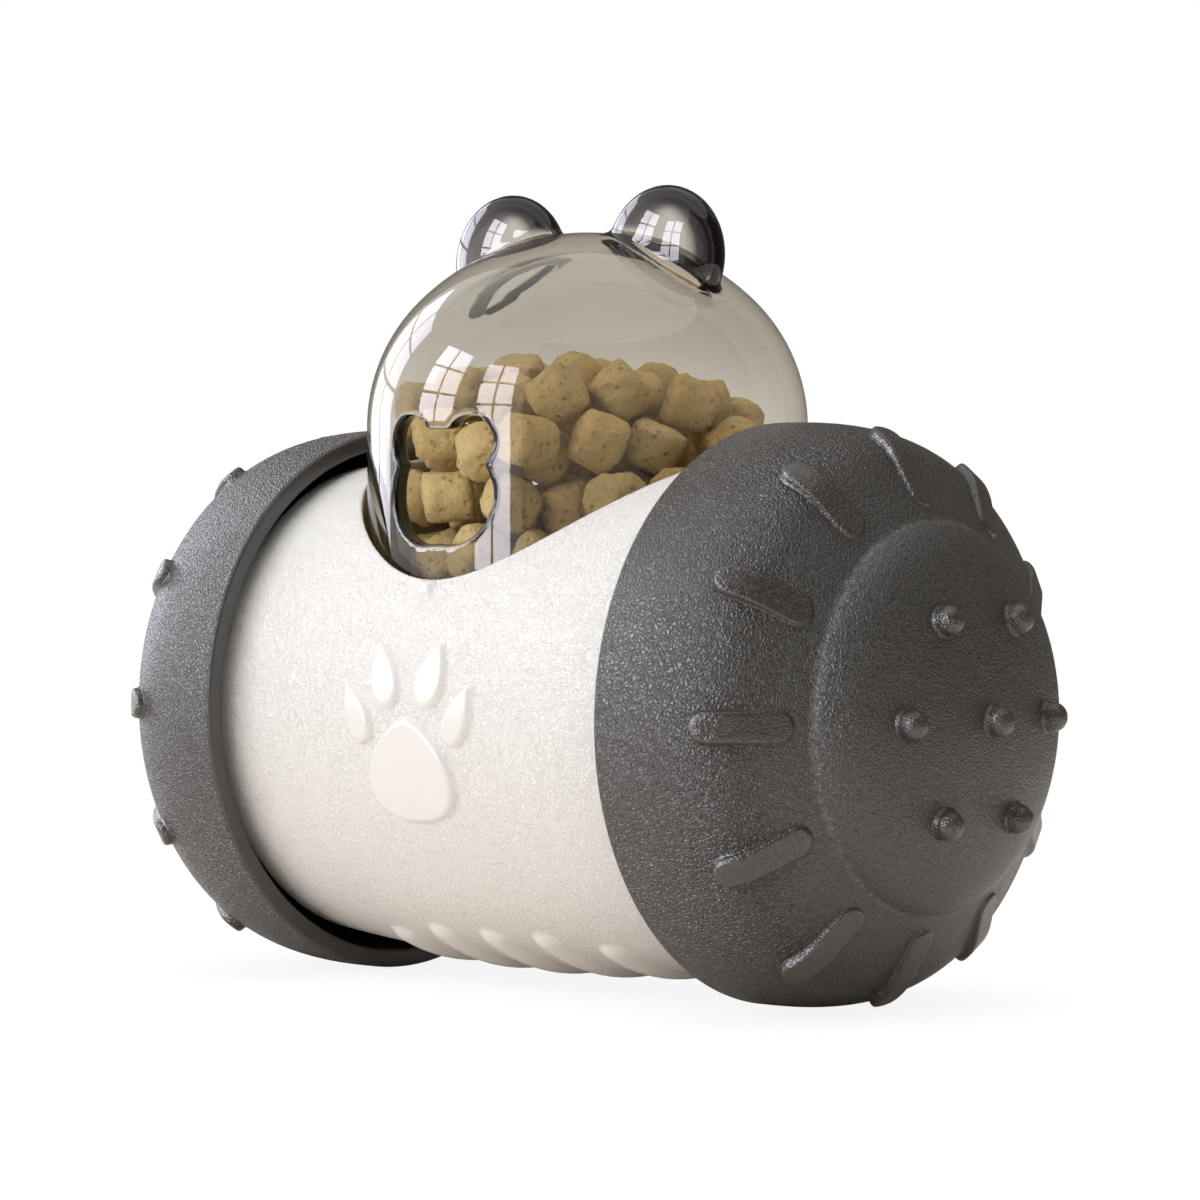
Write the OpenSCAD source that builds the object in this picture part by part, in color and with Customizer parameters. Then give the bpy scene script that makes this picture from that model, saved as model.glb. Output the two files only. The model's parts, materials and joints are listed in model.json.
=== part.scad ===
// Treat dispensing toy: a weighted barrel between two bell wheels, with a clear head that holds the treats.
// Millimetres, +Z up, origin on the floor under the middle of the barrel.
// The axle runs along X, and the treat outlet and the paw print face -Y.

/* [Wheels] */
// Radius of a wheel at its rim
wheel_r = 42; // [39:0.5:48]
// Wall of the wheel shell
wheel_wall = 2.8; // [2:0.1:3.4]
// Straight band beside the rim
rim_band = 3; // [1:0.5:6]
// Length of the rounded shoulder along the axle
shoulder_len = 18.6; // [16:0.2:24]
// Drop in radius over the shoulder
shoulder_drop = 6.1; // [4:0.1:8]
// Length of the cone along the axle
cone_len = 5.5; // [4:0.1:8]
// Drop in radius over the cone
cone_drop = 8.2; // [6:0.1:10]
// Height of the domed hub cap above the cone
hub_len = 10.2; // [9:0.1:13]
// Number of bars round a wheel
bar_count = 12; // [6:1:16]
// Width of a bar
bar_w = 4.6; // [3:0.1:6]
// Length of a bar over its round ends
bar_len = 14.2; // [10:0.1:17]
// Height of a bar above the shell
bar_h = 1.3; // [0.6:0.1:2]
// Number of nubs in the ring on the hub cap
nub_count = 6; // [4:1:8]
// Radius of the ring of nubs
nub_ring_r = 16; // [12:0.5:18]
// Diameter of a nub at its foot
nub_d = 4.6; // [3:0.1:6]
// Height of a nub
nub_h = 3; // [1.5:0.1:4]

/* [Barrel] */
// Gap between the rim of a wheel and the barrel inside it
rim_gap = 2.2; // [1.5:0.1:4]
// Extra radius of the barrel at its middle
bulge = 2.1; // [0.5:0.1:2.6]
// Wall of the barrel where it enters the wheels
barrel_wall = 2.5; // [2:0.1:3.5]
// Length of the barrel hidden inside each wheel
barrel_tuck = 4.8; // [4:0.1:8]
// Chamfer on the ends of the barrel
end_chamfer = 0.8; // [0.2:0.1:1.2]
// Number of ribs on the belly
belly_ribs = 5; // [3:1:5]
// Distance between belly ribs
belly_pitch = 10.45; // [8:0.05:12]
// Width of a belly rib
belly_w = 5.6; // [4:0.1:7]
// Height of a belly rib
belly_h = 1.2; // [0.5:0.1:1.4]
// Angle below the horizontal where the inner belly ribs end
belly_angle = 55; // [45:1:70]
// Height of the paw print and the index mark
relief_h = 1; // [0.4:0.1:1.4]
// Length of the paw pad
pad_len = 15.2; // [12:0.1:18]
// Width of the paw pad
pad_w = 16.6; // [12:0.1:19]
// Length of a toe
toe_len = 9.8; // [7:0.1:11]
// Width of a toe
toe_w = 5.4; // [4:0.1:6]
// Width and height of the index mark
mark_size = 2.2; // [1.5:0.1:3]

/* [Dome] */
// Outer radius of the dome
dome_r = 33.1; // [31:0.1:34]
// Wall of the dome
dome_wall = 2.8; // [2:0.1:3.2]
// Gap between the dome and the edge of the barrel's opening
dome_gap = 0.7; // [0.4:0.1:1]
// Room between the opening's edge and the rims of the wheels
dome_side = 4.4; // [3:0.1:8]
// Length of dome that goes down into the barrel at its front
dome_tuck = 9.5; // [7:0.1:11]
// Straight height of the dome above its seat
dome_straight = 31.7; // [29:0.1:36]
// Height of the dome's round top
dome_rise = 29.2; // [28:0.1:31]
// Radius of the round where the dome's side meets its crown
dome_knuckle = 26.5; // [22:0.1:27]
// Radius of an ear
ear_r = 10.5; // [9:0.1:12]
// Half thickness of an ear
ear_half = 5.2; // [4:0.1:6]
// Round along the edge of an ear
ear_round = 3; // [2.6:0.1:3.8]
// Wall of an ear
ear_wall = 2; // [1.2:0.1:2.4]
// Distance of an ear from the middle
ear_x = 15.5; // [13:0.1:18]
// Height of an ear's centre below the top of the dome
ear_drop = 4.1; // [2:0.1:6]
// Half width of the treat outlet
outlet_half_w = 9.6; // [8:0.1:11]
// Radius of the round lower ends of the outlet
outlet_low_r = 7.1; // [6:0.1:7.5]
// Radius of the two upper lobes of the outlet
outlet_lobe_r = 3.9; // [3:0.1:4.5]
// Height of the outlet's lower edge above the dome's seat
outlet_up = 14.3; // [12:0.1:18]
// Overall height of the outlet
outlet_h = 18.6; // [17:0.1:20]

/* [Hopper] */
// Thickness of the hopper's floor
hopper_floor = 2.5; // [2:0.1:3.5]
// Wall of the hopper's rim
hopper_wall = 2.6; // [2.4:0.1:3.5]
// Height of the hopper's rim above its floor
hopper_rim = 7.5; // [6:0.1:8]
// Thickness of the seal ring
seal_d = 1.8; // [1.2:0.1:2]
// Radius of the pivot post
pivot_r = 4; // [3:0.1:5]
// Height of the pivot hub above the hopper's floor
pivot_hub = 4; // [3:0.1:6]
// Thickness of the bridge
bridge_t = 3; // [2:0.1:4]
// Length of the bridge along the axle
bridge_len = 60; // [54:1:60]
// Depth of the ledges that carry the bridge
ledge_h = 10; // [9:0.1:14]

/* [Running gear] */
// Thickness of an end plate
plate_t = 3; // [2:0.1:4]
// Radius of a journal
journal_r = 5; // [4:0.1:6]
// Wall of a bush
bush_wall = 2; // [1:0.1:3]
// Thickness of a bush's flange
bush_flange_t = 1.5; // [1:0.1:2.5]
// Wall of the hub round a bush
plate_hub_wall = 4; // [2.5:0.1:5]
// Length of an end plate's hub beyond the plate
plate_hub_len = 3.5; // [2:0.1:4]
// Thickness of the washers
washer_t = 1.2; // [0.8:0.1:1.5]
// Thickness of a wheel core's flange
core_t = 3; // [2:0.1:4]
// Distance of the end plate screws from the axle
plate_screw_r = 29.2; // [28:0.1:29.4]

/* [Counterweight] */
// Height of the counterweight
weight_h = 13; // [8:0.5:16]
// Length of the counterweight
weight_len = 53; // [40:0.5:53]
// Thickness of the weight's cover
cover_t = 2.5; // [1.5:0.1:3.5]
// Width of the weight's cover
cover_w = 30; // [20:1:36]

/* [Screws] */
// Diameter of the small screws
screw_d = 3; // [2.5:0.1:3.2]
// Length of the small screws
screw_len = 9; // [8:0.5:10]
// Diameter of the axle screws
axle_screw_d = 4; // [3:0.1:4.5]
// Length of the axle screws
axle_screw_len = 16; // [12:0.5:20]

/* [Kibble] */
// Diameter of a piece of kibble across its corners
kibble_d = 9.2; // [8:0.1:10]
// Height of the kibble above the hopper's floor at its highest
heap_h = 44; // [30:1:47]

/* [Hidden] */
$fn = 96;

// Clearance between pieces that are fixed to each other
fit = 0.05;
// Radial clearance of a journal or post that turns
run = 0.05;
// Clearance between faces that turn past each other
play = 0.3;
// Small length by which a joined or cutting shape passes a face
lap = 1;

charcoal = [0.27, 0.25, 0.24];
warm_white = [0.93, 0.91, 0.89];
smoke = [0.45, 0.42, 0.39, 0.45];
steel = [0.72, 0.72, 0.74];
bearing_ivory = [0.88, 0.85, 0.76];
treat_tan = [0.66, 0.49, 0.28];

// Places along the axle, measured from the middle of the barrel
axle_z = wheel_r;
opening_r = dome_r + dome_gap;
rim_x = opening_r + dome_side;
barrel_end = rim_x + barrel_tuck;
plate_in = barrel_end - plate_t;
hub_out = barrel_end + plate_hub_len;
flange_out = hub_out + bush_flange_t;
bush_flange_w = 2.5;
core_shoulder = flange_out + play;

// Barrel section
barrel_rim_r = wheel_r - wheel_wall - rim_gap;
barrel_mid_r = barrel_rim_r + bulge;
bulge_r = (rim_x * rim_x + bulge * bulge) / (2 * bulge);
bore_r = barrel_rim_r - barrel_wall;
barrel_steps = 20;
function barrel_r_at(x) = barrel_mid_r - bulge_r + sqrt(bulge_r * bulge_r - x * x);

// Heights above the axle
saddle_rise = sqrt(barrel_mid_r * barrel_mid_r - opening_r * opening_r);
seat_rise = saddle_rise - dome_tuck;
hopper_under = seat_rise - hopper_floor;
bridge_top = hopper_under - play;
bridge_under = bridge_top - bridge_t;
spring_rise = seat_rise + dome_straight;
dome_top = spring_rise + dome_rise;
pivot_seat = seat_rise + pivot_hub + play;
pivot_hub_r = pivot_r + 3;
hopper_r = dome_r - dome_wall - run;
seal_rise = hopper_rim / 2;
weight_top = weight_h - bore_r;
cover_top = weight_top + cover_t;

// Screws
shank_r = screw_d / 2 - 0.25;
pilot_r = shank_r + fit;
head_r = 0.95 * screw_d;
head_h = 0.7 * screw_d;
axle_head_r = 0.9 * axle_screw_d;
axle_head_h = 0.6 * axle_screw_d;
boss_r = screw_d / 2 + 2;
boss_len = 8;
recess_w = 0.3;

// The journals end where the heads of the axle screws clear the opening
journal_end = opening_r + play + axle_head_h + washer_t;
hub_in = journal_end + play;

// Plate screws sit clear of the bridge, the counterweight and the opening
plate_screw_angles = [25, 155, 200, 340];
// The bridge stops short of the bore, and its screws stand just outside the turning hopper
bridge_side = 1.5;
bridge_edge = 0.6;
bridge_half_w = sqrt(bore_r * bore_r - bridge_top * bridge_top) - bridge_side;
bridge_screw_y = bridge_half_w - head_r - bridge_edge;
bridge_screw_x = sqrt(pow(dome_r + head_r + 2 * play, 2) - bridge_screw_y * bridge_screw_y);
ledge_in = bridge_screw_y - boss_r;
ledge_short = 2;
cover_screw_x = weight_len / 2 + boss_r + play;

// Wheel section, as radius and distance from the rim
crease_r = wheel_r - shoulder_drop - cone_drop;
cone_start = rim_band + shoulder_len;
crease_u = cone_start + cone_len;
hub_u = crease_u + hub_len;
cone_slant = sqrt(cone_len * cone_len + cone_drop * cone_drop);
cone_dir = [-cone_drop, cone_len] / cone_slant;
cone_normal = [cone_len, cone_drop] / cone_slant;
shoulder_steps = 14;
hub_steps = 16;
core_room = 0.6;
core_r = crease_r - wheel_wall - core_room;
core_seat_u = crease_u + 1;
core_ledge = 2.5;
core_boss_r = journal_r + 3.5;

shoulder_ctrl = [
    [wheel_r, rim_band],
    [wheel_r, rim_band + 0.68 * shoulder_len],
    [wheel_r - shoulder_drop, cone_start] - 0.39 * cone_slant * cone_dir,
    [wheel_r - shoulder_drop, cone_start]
];
hub_ctrl = [
    [crease_r, crease_u],
    [0.94 * crease_r, crease_u + 0.6 * hub_len],
    [0.35 * crease_r, hub_u],
    [0, hub_u]
];

// Point on a cubic curve, and the same point moved out along the curve's normal
function curve_at(c, t) =
    pow(1 - t, 3) * c[0] + 3 * t * pow(1 - t, 2) * c[1] + 3 * t * t * (1 - t) * c[2] + pow(t, 3) * c[3];
function slope_at(c, t) =
    pow(1 - t, 2) * (c[1] - c[0]) + 2 * t * (1 - t) * (c[2] - c[1]) + t * t * (c[3] - c[2]);
function normal_at(c, t) = let (s = slope_at(c, t)) [s[1], -s[0]] / norm(s);
function offset_curve(c, steps, grow) =
    [for (i = [0 : steps]) curve_at(c, i / steps) + grow * normal_at(c, i / steps)];

// Places a shape whose axis is Z on the axle, pointing outward on one side
module on_axle(side, x = 0) {
    translate([side * x, 0, axle_z]) rotate([0, side * 90, 0]) children();
}

// Turns children round the axle by an angle that rises from the rear horizontal, as seen from +X
module round_axle(angle) {
    translate([0, 0, axle_z]) rotate([angle, 0, 0]) children();
}

module tube(r_out, r_in, h) {
    difference() {
        cylinder(r = r_out, h = h);
        translate([0, 0, -lap]) cylinder(r = r_in, h = h + 2 * lap);
    }
}

// Pan head screw with its seat at z = 0 and its shank downward, with a cross recess
module screw(shank, length, head_radius, head_height) {
    recess = 1.3 * shank;
    difference() {
        union() {
            translate([0, 0, -length]) cylinder(r = shank, h = length + lap / 2);
            cylinder(r = head_radius, h = head_height);
        }
        for (turn = [0, 90]) rotate(turn)
            translate([-recess, -recess_w, head_height / 2]) cube([2 * recess, 2 * recess_w, head_height]);
    }
}

module small_screw() {
    screw(shank_r, screw_len, head_r, head_h);
}

// Side of a dished end from [r, 0] up to [0, h]: a knuckle that blends into a flatter crown
function dished(r, h, knuckle, steps) =
    let (c = r - knuckle)
    let (crown = (c * c + h * h - knuckle * knuckle) / (2 * (h - knuckle)))
    let (turn = atan2(crown - h, c))
    concat(
        [for (i = [0 : steps]) let (a = turn * i / steps) [c + knuckle * cos(a), knuckle * sin(a)]],
        [for (i = [1 : steps]) let (a = turn + (90 - turn) * i / steps)
            [crown * cos(a), h - crown + crown * sin(a)]]
    );

// Outline that runs from a round foot at 0 to a tip at len: foot and tip set how blunt its two ends are
function leaf(len, width, foot, tip, steps = 16) =
    let (peak = foot / (foot + tip))
    let (top = pow(peak, foot) * pow(1 - peak, tip))
    let (half = [for (i = [0 : steps]) let (s = (1 - cos(180 * i / steps)) / 2)
        [width / 2 * pow(s, foot) * pow(1 - s, tip) / top, len * s]])
    concat(half, [for (i = [steps - 1 : -1 : 1]) [-half[i][0], half[i][1]]]);

// Barrel

// Solid of the barrel's outer form, grown by a height, with its axis along Z
module barrel_form(grow, half) {
    side_points = [for (i = [0 : barrel_steps]) let (x = half * (2 * i / barrel_steps - 1))
        [barrel_r_at(x) + grow, x]];
    rotate_extrude($fn = 360) polygon(concat([[0, -half]], side_points, [[0, half]]));
}

module end_bevel() {
    end_r = barrel_r_at(barrel_end);
    rotate_extrude() polygon([
        [end_r - end_chamfer, barrel_end + lap], [end_r - end_chamfer, barrel_end],
        [end_r + lap, barrel_end - end_chamfer - lap], [end_r + 2 * lap, barrel_end + lap]
    ]);
}

// The two outermost ribs end a little lower than the others
module belly_rib(place) {
    x = place * belly_pitch;
    outer_drop = 4.5;
    stop = abs(place) < (belly_ribs - 1) / 2 ? belly_angle : belly_angle + outer_drop;
    tube_r = (belly_w * belly_w / 4 + belly_h * belly_h) / (2 * belly_h);
    ring_r = barrel_r_at(x) + belly_h - tube_r;
    start = stop + asin(belly_w / 2 / barrel_r_at(x));
    translate([x, 0, 0]) rotate([0, 90, 0]) {
        rotate([0, 0, start - 90]) rotate_extrude(angle = 180 - 2 * start)
            translate([ring_r, 0]) circle(r = tube_r);
        for (end = [start, 180 - start]) rotate([0, 0, end - 90]) translate([ring_r, 0, 0])
            sphere(r = tube_r - fit);
    }
}

module paw_outline() {
    pad_rise = -0.3;
    inner_foot = [3.3, 0.9];
    inner_lean = 17;
    outer_foot = [pad_w / 2 - 0.1, -4.2];
    outer_lean = 25;
    outer_w = 0.89 * toe_w;
    translate([0, pad_rise - pad_len]) polygon(leaf(pad_len, pad_w, 0.42, 0.7));
    for (side = [-1, 1]) {
        translate([side * inner_foot[0], inner_foot[1]]) rotate(-side * inner_lean)
            polygon(leaf(toe_len, toe_w, 0.5, 0.8));
        translate([side * outer_foot[0], outer_foot[1]]) rotate(-side * outer_lean)
            polygon(leaf(toe_len, outer_w, 0.5, 0.9));
    }
}

module front_relief() {
    mark_drop = 0.6;
    intersection() {
        rotate([0, 90, 0]) barrel_form(relief_h, rim_x);
        rotate([90, 0, 0]) linear_extrude(height = barrel_mid_r + 2 * relief_h) {
            paw_outline();
            translate([-mark_size / 2, saddle_rise - mark_drop - mark_size]) square([mark_size, mark_size]);
        }
    }
}

module plate_bosses() {
    for (side = [-1, 1], angle = plate_screw_angles) round_axle(angle) {
        translate([side * (plate_in - boss_len / 2), plate_screw_r, 0]) {
            rotate([0, 90, 0]) cylinder(r = boss_r, h = boss_len, center = true);
            translate([-boss_len / 2, 0, -boss_r / 2]) cube([boss_len, bore_r - plate_screw_r + lap, boss_r]);
        }
    }
}

module ledges() {
    intersection() {
        translate([0, 0, axle_z]) rotate([0, 90, 0])
            cylinder(r = bore_r + lap, h = bridge_len - 2 * ledge_short, center = true);
        for (side = [-1, 1]) translate([-bridge_len / 2, side > 0 ? ledge_in : -bore_r - lap,
                axle_z + bridge_under - ledge_h])
            cube([bridge_len, bore_r + lap - ledge_in, ledge_h]);
    }
}

module cover_posts() {
    intersection() {
        translate([0, 0, axle_z]) rotate([0, 90, 0])
            cylinder(r = bore_r + lap, h = 2 * barrel_end, center = true);
        for (side = [-1, 1]) translate([side * cover_screw_x, 0, axle_z - bore_r - lap])
            cylinder(r = boss_r, h = weight_h + lap);
    }
}

module screw_pilots() {
    for (side = [-1, 1], angle = plate_screw_angles) round_axle(angle)
        translate([side * (plate_in - screw_len / 2), plate_screw_r, 0]) rotate([0, 90, 0])
            cylinder(r = pilot_r, h = screw_len + lap, center = true);
    for (x = [-1, 1], y = [-1, 1]) translate([x * bridge_screw_x, y * bridge_screw_y,
            axle_z + bridge_under - screw_len + lap])
        cylinder(r = pilot_r, h = screw_len);
    for (side = [-1, 1]) translate([side * cover_screw_x, 0, axle_z + weight_top - screw_len + lap])
        cylinder(r = pilot_r, h = screw_len);
}

module barrel() {
    color(warm_white) difference() {
        union() {
            difference() {
                translate([0, 0, axle_z]) difference() {
                    union() {
                        rotate([0, 90, 0]) barrel_form(0, barrel_end);
                        front_relief();
                        for (i = [0 : belly_ribs - 1]) belly_rib(i - (belly_ribs - 1) / 2);
                    }
                    for (side = [-1, 1]) rotate([0, side * 90, 0]) end_bevel();
                    rotate([0, 90, 0]) cylinder(r = bore_r, h = 3 * barrel_end, center = true, $fn = 360);
                }
                translate([0, 0, axle_z + hopper_under - lap]) cylinder(r = opening_r, h = 2 * barrel_mid_r);
            }
            plate_bosses();
            ledges();
            cover_posts();
        }
        screw_pilots();
    }
}

// End plates, bushes and their screws

module end_plate(side) {
    color(warm_white) difference() {
        union() {
            on_axle(side, plate_in) cylinder(r = bore_r - fit, h = plate_t);
            on_axle(side, hub_in) cylinder(r = journal_r + bush_wall + plate_hub_wall, h = hub_out - hub_in);
        }
        on_axle(side, hub_in - lap) cylinder(r = journal_r + bush_wall, h = hub_out - hub_in + 2 * lap);
        for (angle = plate_screw_angles) round_axle(angle)
            translate([side * barrel_end, plate_screw_r, 0]) rotate([0, 90, 0])
                cylinder(r = screw_d / 2, h = 4 * plate_t, center = true);
    }
}

module end_screws(side) {
    color(steel) for (angle = plate_screw_angles) round_axle(angle)
        translate([side * barrel_end, plate_screw_r, 0]) rotate([0, side * 90, 0]) small_screw();
}

module bush(side) {
    color(bearing_ivory) difference() {
        union() {
            on_axle(side, hub_in) cylinder(r = journal_r + bush_wall - fit / 2, h = hub_out - hub_in + lap / 2);
            on_axle(side, hub_out) cylinder(r = journal_r + bush_wall + bush_flange_w, h = bush_flange_t);
        }
        on_axle(side, hub_in - lap) cylinder(r = journal_r + run, h = flange_out - hub_in + 2 * lap);
    }
}

// Wheels

module wheel_bars() {
    // The bar is an upright slot shape on the cone, cut to an even height above the shell
    middle = [wheel_r - shoulder_drop, cone_start];
    bar_lean = 10;
    tilt = atan2(cone_normal[0], cone_normal[1]) + bar_lean;
    straight = bar_len - bar_w;
    tall = 6;
    top = concat([[0, rim_band]], offset_curve(shoulder_ctrl, shoulder_steps, bar_h),
        [[crease_r, crease_u] + bar_h * cone_normal + cone_slant * cone_dir, [0, hub_u]]);
    intersection() {
        rotate_extrude() polygon(top);
        for (i = [0 : bar_count - 1]) rotate(90 + 360 * i / bar_count)
            translate([middle[0], 0, middle[1]]) rotate([0, tilt, 0]) translate([0, 0, -tall / 2])
                linear_extrude(height = tall) {
                    square([straight, bar_w], center = true);
                    for (end = [-1, 1]) translate([end * straight / 2, 0]) circle(d = bar_w);
                }
    }
}

module nub() {
    // A round foot that draws in along an arc to a tip
    steps = 6;
    arc_r = (nub_d * nub_d / 4 + nub_h * nub_h) / nub_d;
    sweep = asin(nub_h / arc_r);
    side = [for (i = [0 : steps - 1]) let (a = sweep * i / steps)
        [nub_d / 2 - arc_r + arc_r * cos(a), arc_r * sin(a)]];
    rotate_extrude() polygon(concat([[0, -lap], [nub_d / 2, -lap]], side, [[0, nub_h]]));
}

module wheel_nubs() {
    ring_t = [for (i = [0 : 200]) if (curve_at(hub_ctrl, i / 200)[0] > nub_ring_r) i / 200];
    t = ring_t[len(ring_t) - 1];
    foot = curve_at(hub_ctrl, t);
    lean = normal_at(hub_ctrl, t);
    translate([0, 0, hub_u]) nub();
    for (i = [0 : nub_count - 1]) rotate(90 + 360 * i / nub_count)
        translate([foot[0], 0, foot[1]]) rotate([0, atan2(lean[0], lean[1]), 0]) nub();
}

module wheel_shell(side) {
    outer = concat([[0, 0], [wheel_r, 0]], offset_curve(shoulder_ctrl, shoulder_steps, 0),
        offset_curve(hub_ctrl, hub_steps, 0));
    hub_inner = offset_curve(hub_ctrl, hub_steps, -wheel_wall);
    inner = concat([[0, -lap], [wheel_r - wheel_wall, -lap]],
        offset_curve(shoulder_ctrl, shoulder_steps, -wheel_wall),
        [[crease_r, crease_u] - wheel_wall * cone_normal, [core_r + fit, core_seat_u - core_t],
         [core_r + fit, core_seat_u], [core_r - core_ledge, core_seat_u]],
        [for (p = hub_inner) if (p[0] < core_r - core_ledge - 0.5 && p[0] > 0.01) p],
        [[0, hub_u - wheel_wall]]);
    // Both wheels stand on the same place of their rims
    stand = side < 0 ? 180 : 0;
    color(charcoal) on_axle(side, rim_x) rotate(stand) difference() {
        union() {
            rotate_extrude() polygon(outer);
            wheel_bars();
            wheel_nubs();
        }
        rotate_extrude() polygon(inner);
    }
}

module wheel_core(side) {
    seat_x = rim_x + core_seat_u;
    color(charcoal) difference() {
        union() {
            on_axle(side, seat_x - core_t) cylinder(r = core_r, h = core_t);
            on_axle(side, core_shoulder) cylinder(r = core_boss_r, h = seat_x - core_shoulder - core_t / 2);
            on_axle(side, journal_end) cylinder(r = journal_r, h = core_shoulder - journal_end + lap);
        }
        on_axle(side, journal_end - lap) cylinder(r = axle_screw_d / 2, h = axle_screw_len + 2 * lap);
    }
}

module axle_washer(side) {
    color(steel) on_axle(side, journal_end - washer_t)
        tube(journal_r + bush_wall + 1, axle_screw_d / 2, washer_t);
}

module axle_screw(side) {
    color(steel) on_axle(-side, -(journal_end - washer_t))
        screw(axle_screw_d / 2 - fit, axle_screw_len, axle_head_r, axle_head_h);
}

// Counterweight

module counterweight() {
    color(steel) intersection() {
        translate([0, 0, axle_z]) rotate([0, 90, 0]) cylinder(r = bore_r - fit, h = weight_len, center = true);
        translate([-weight_len, -bore_r, axle_z - bore_r - lap])
            cube([2 * weight_len, 2 * bore_r, weight_h + lap - fit]);
    }
}

module weight_cover() {
    long = 2 * (cover_screw_x + boss_r);
    color(warm_white) translate([0, 0, axle_z + weight_top]) difference() {
        translate([-long / 2, -cover_w / 2, 0]) cube([long, cover_w, cover_t]);
        for (side = [-1, 1]) translate([side * cover_screw_x, 0, -lap])
            cylinder(r = screw_d / 2, h = cover_t + 2 * lap);
    }
}

module weight_cover_screws() {
    color(steel) for (side = [-1, 1]) translate([side * cover_screw_x, 0, axle_z + cover_top]) small_screw();
}

// Bridge, hopper and pivot

module bridge() {
    color(warm_white) translate([0, 0, axle_z + bridge_under]) difference() {
        union() {
            translate([-bridge_len / 2, -bridge_half_w, 0]) cube([bridge_len, 2 * bridge_half_w, bridge_t]);
            cylinder(r = pivot_r, h = pivot_seat - bridge_under);
        }
        for (x = [-1, 1], y = [-1, 1]) translate([x * bridge_screw_x, y * bridge_screw_y, -lap])
            cylinder(r = screw_d / 2, h = bridge_t + 2 * lap);
        translate([0, 0, pivot_seat - bridge_under - screw_len + lap]) cylinder(r = pilot_r, h = screw_len);
    }
}

module bridge_screws() {
    color(steel) for (x = [-1, 1], y = [-1, 1])
        translate([x * bridge_screw_x, y * bridge_screw_y, axle_z + bridge_top]) small_screw();
}

module hopper() {
    color(warm_white) translate([0, 0, axle_z + hopper_under]) difference() {
        union() {
            cylinder(r = dome_r, h = hopper_floor);
            tube(hopper_r, hopper_r - hopper_wall, hopper_floor + hopper_rim);
            cylinder(r = pivot_hub_r, h = hopper_floor + pivot_hub);
        }
        translate([0, 0, -lap]) cylinder(r = pivot_r + run, h = hopper_floor + pivot_hub + 2 * lap);
        translate([0, 0, hopper_floor + seal_rise - seal_d / 2 - fit])
            tube(hopper_r + lap, hopper_r - seal_d, seal_d + 2 * fit);
    }
}

module seal_ring() {
    color("dimgray") translate([0, 0, axle_z + seat_rise + seal_rise])
        rotate_extrude() translate([hopper_r - seal_d / 2 + fit / 2, 0]) circle(d = seal_d - fit);
}

module pivot_washer() {
    color(steel) translate([0, 0, axle_z + pivot_seat]) tube(pivot_hub_r - 0.5, screw_d / 2, washer_t);
}

module pivot_screw() {
    color(steel) translate([0, 0, axle_z + pivot_seat + washer_t]) small_screw();
}

// Dome

module ear_form(shrink) {
    face = dished(ear_r - shrink, ear_half - shrink, ear_round - shrink, 5);
    back = [for (i = [len(face) - 1 : -1 : 1]) [face[i][0], -face[i][1]]];
    rotate([90, 0, 0]) rotate(90) rotate_extrude() polygon(concat(back, face));
}

// The dome and its ears, moved in by a wall, down to a height above the axle
module dome_form(shrink, foot) {
    side = dished(dome_r - shrink, dome_rise - shrink, dome_knuckle - shrink, 9);
    drop = foot - spring_rise;
    translate([0, 0, spring_rise]) rotate(90) rotate_extrude()
        polygon(concat([[0, drop], [dome_r - shrink, drop]], side));
    for (hand = [-1, 1]) translate([hand * ear_x, 0, dome_top - ear_drop])
        ear_form(shrink > 0 ? ear_wall : 0);
}

module outlet_outline() {
    low_x = outlet_half_w - outlet_low_r;
    lobe_x = outlet_half_w - outlet_lobe_r;
    lobe_y = outlet_h - outlet_lobe_r;
    brow = outlet_h - outlet_lobe_r / 2;
    for (side = [-1, 1]) {
        translate([side * low_x, outlet_low_r]) circle(r = outlet_low_r);
        translate([side * lobe_x, lobe_y]) circle(r = outlet_lobe_r);
    }
    translate([-low_x, 0]) square([2 * low_x, 2 * outlet_low_r]);
    translate([-lobe_x, outlet_low_r]) square([2 * lobe_x, brow - outlet_low_r]);
}

module dome() {
    inner_r = dome_r - dome_wall;
    color(smoke) translate([0, 0, axle_z]) difference() {
        dome_form(0, seat_rise + fit);
        dome_form(dome_wall, seat_rise - lap);
        translate([0, -inner_r / 2, seat_rise + outlet_up]) rotate([90, 0, 0])
            linear_extrude(height = dome_r) outlet_outline();
    }
}

// Kibble: rounded pucks that settle against each other and the walls in a low heap

module kibble_piece(size) {
    intersection() {
        cylinder(r = 0.465 * size, h = 0.8 * size, center = true);
        sphere(d = size);
    }
}

kibble_pitch = 1.04 * kibble_d;
kibble_layer = kibble_pitch * sqrt(2 / 3);
kibble_apart = 1.03 * kibble_d;
heap_x = -3;
heap_y = -2;
heap_fall = 0.0096;
outlet_room = 2;
function heap_at(x, y) = heap_h - heap_fall * (pow(x - heap_x, 2) + pow(y - heap_y, 2));

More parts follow.
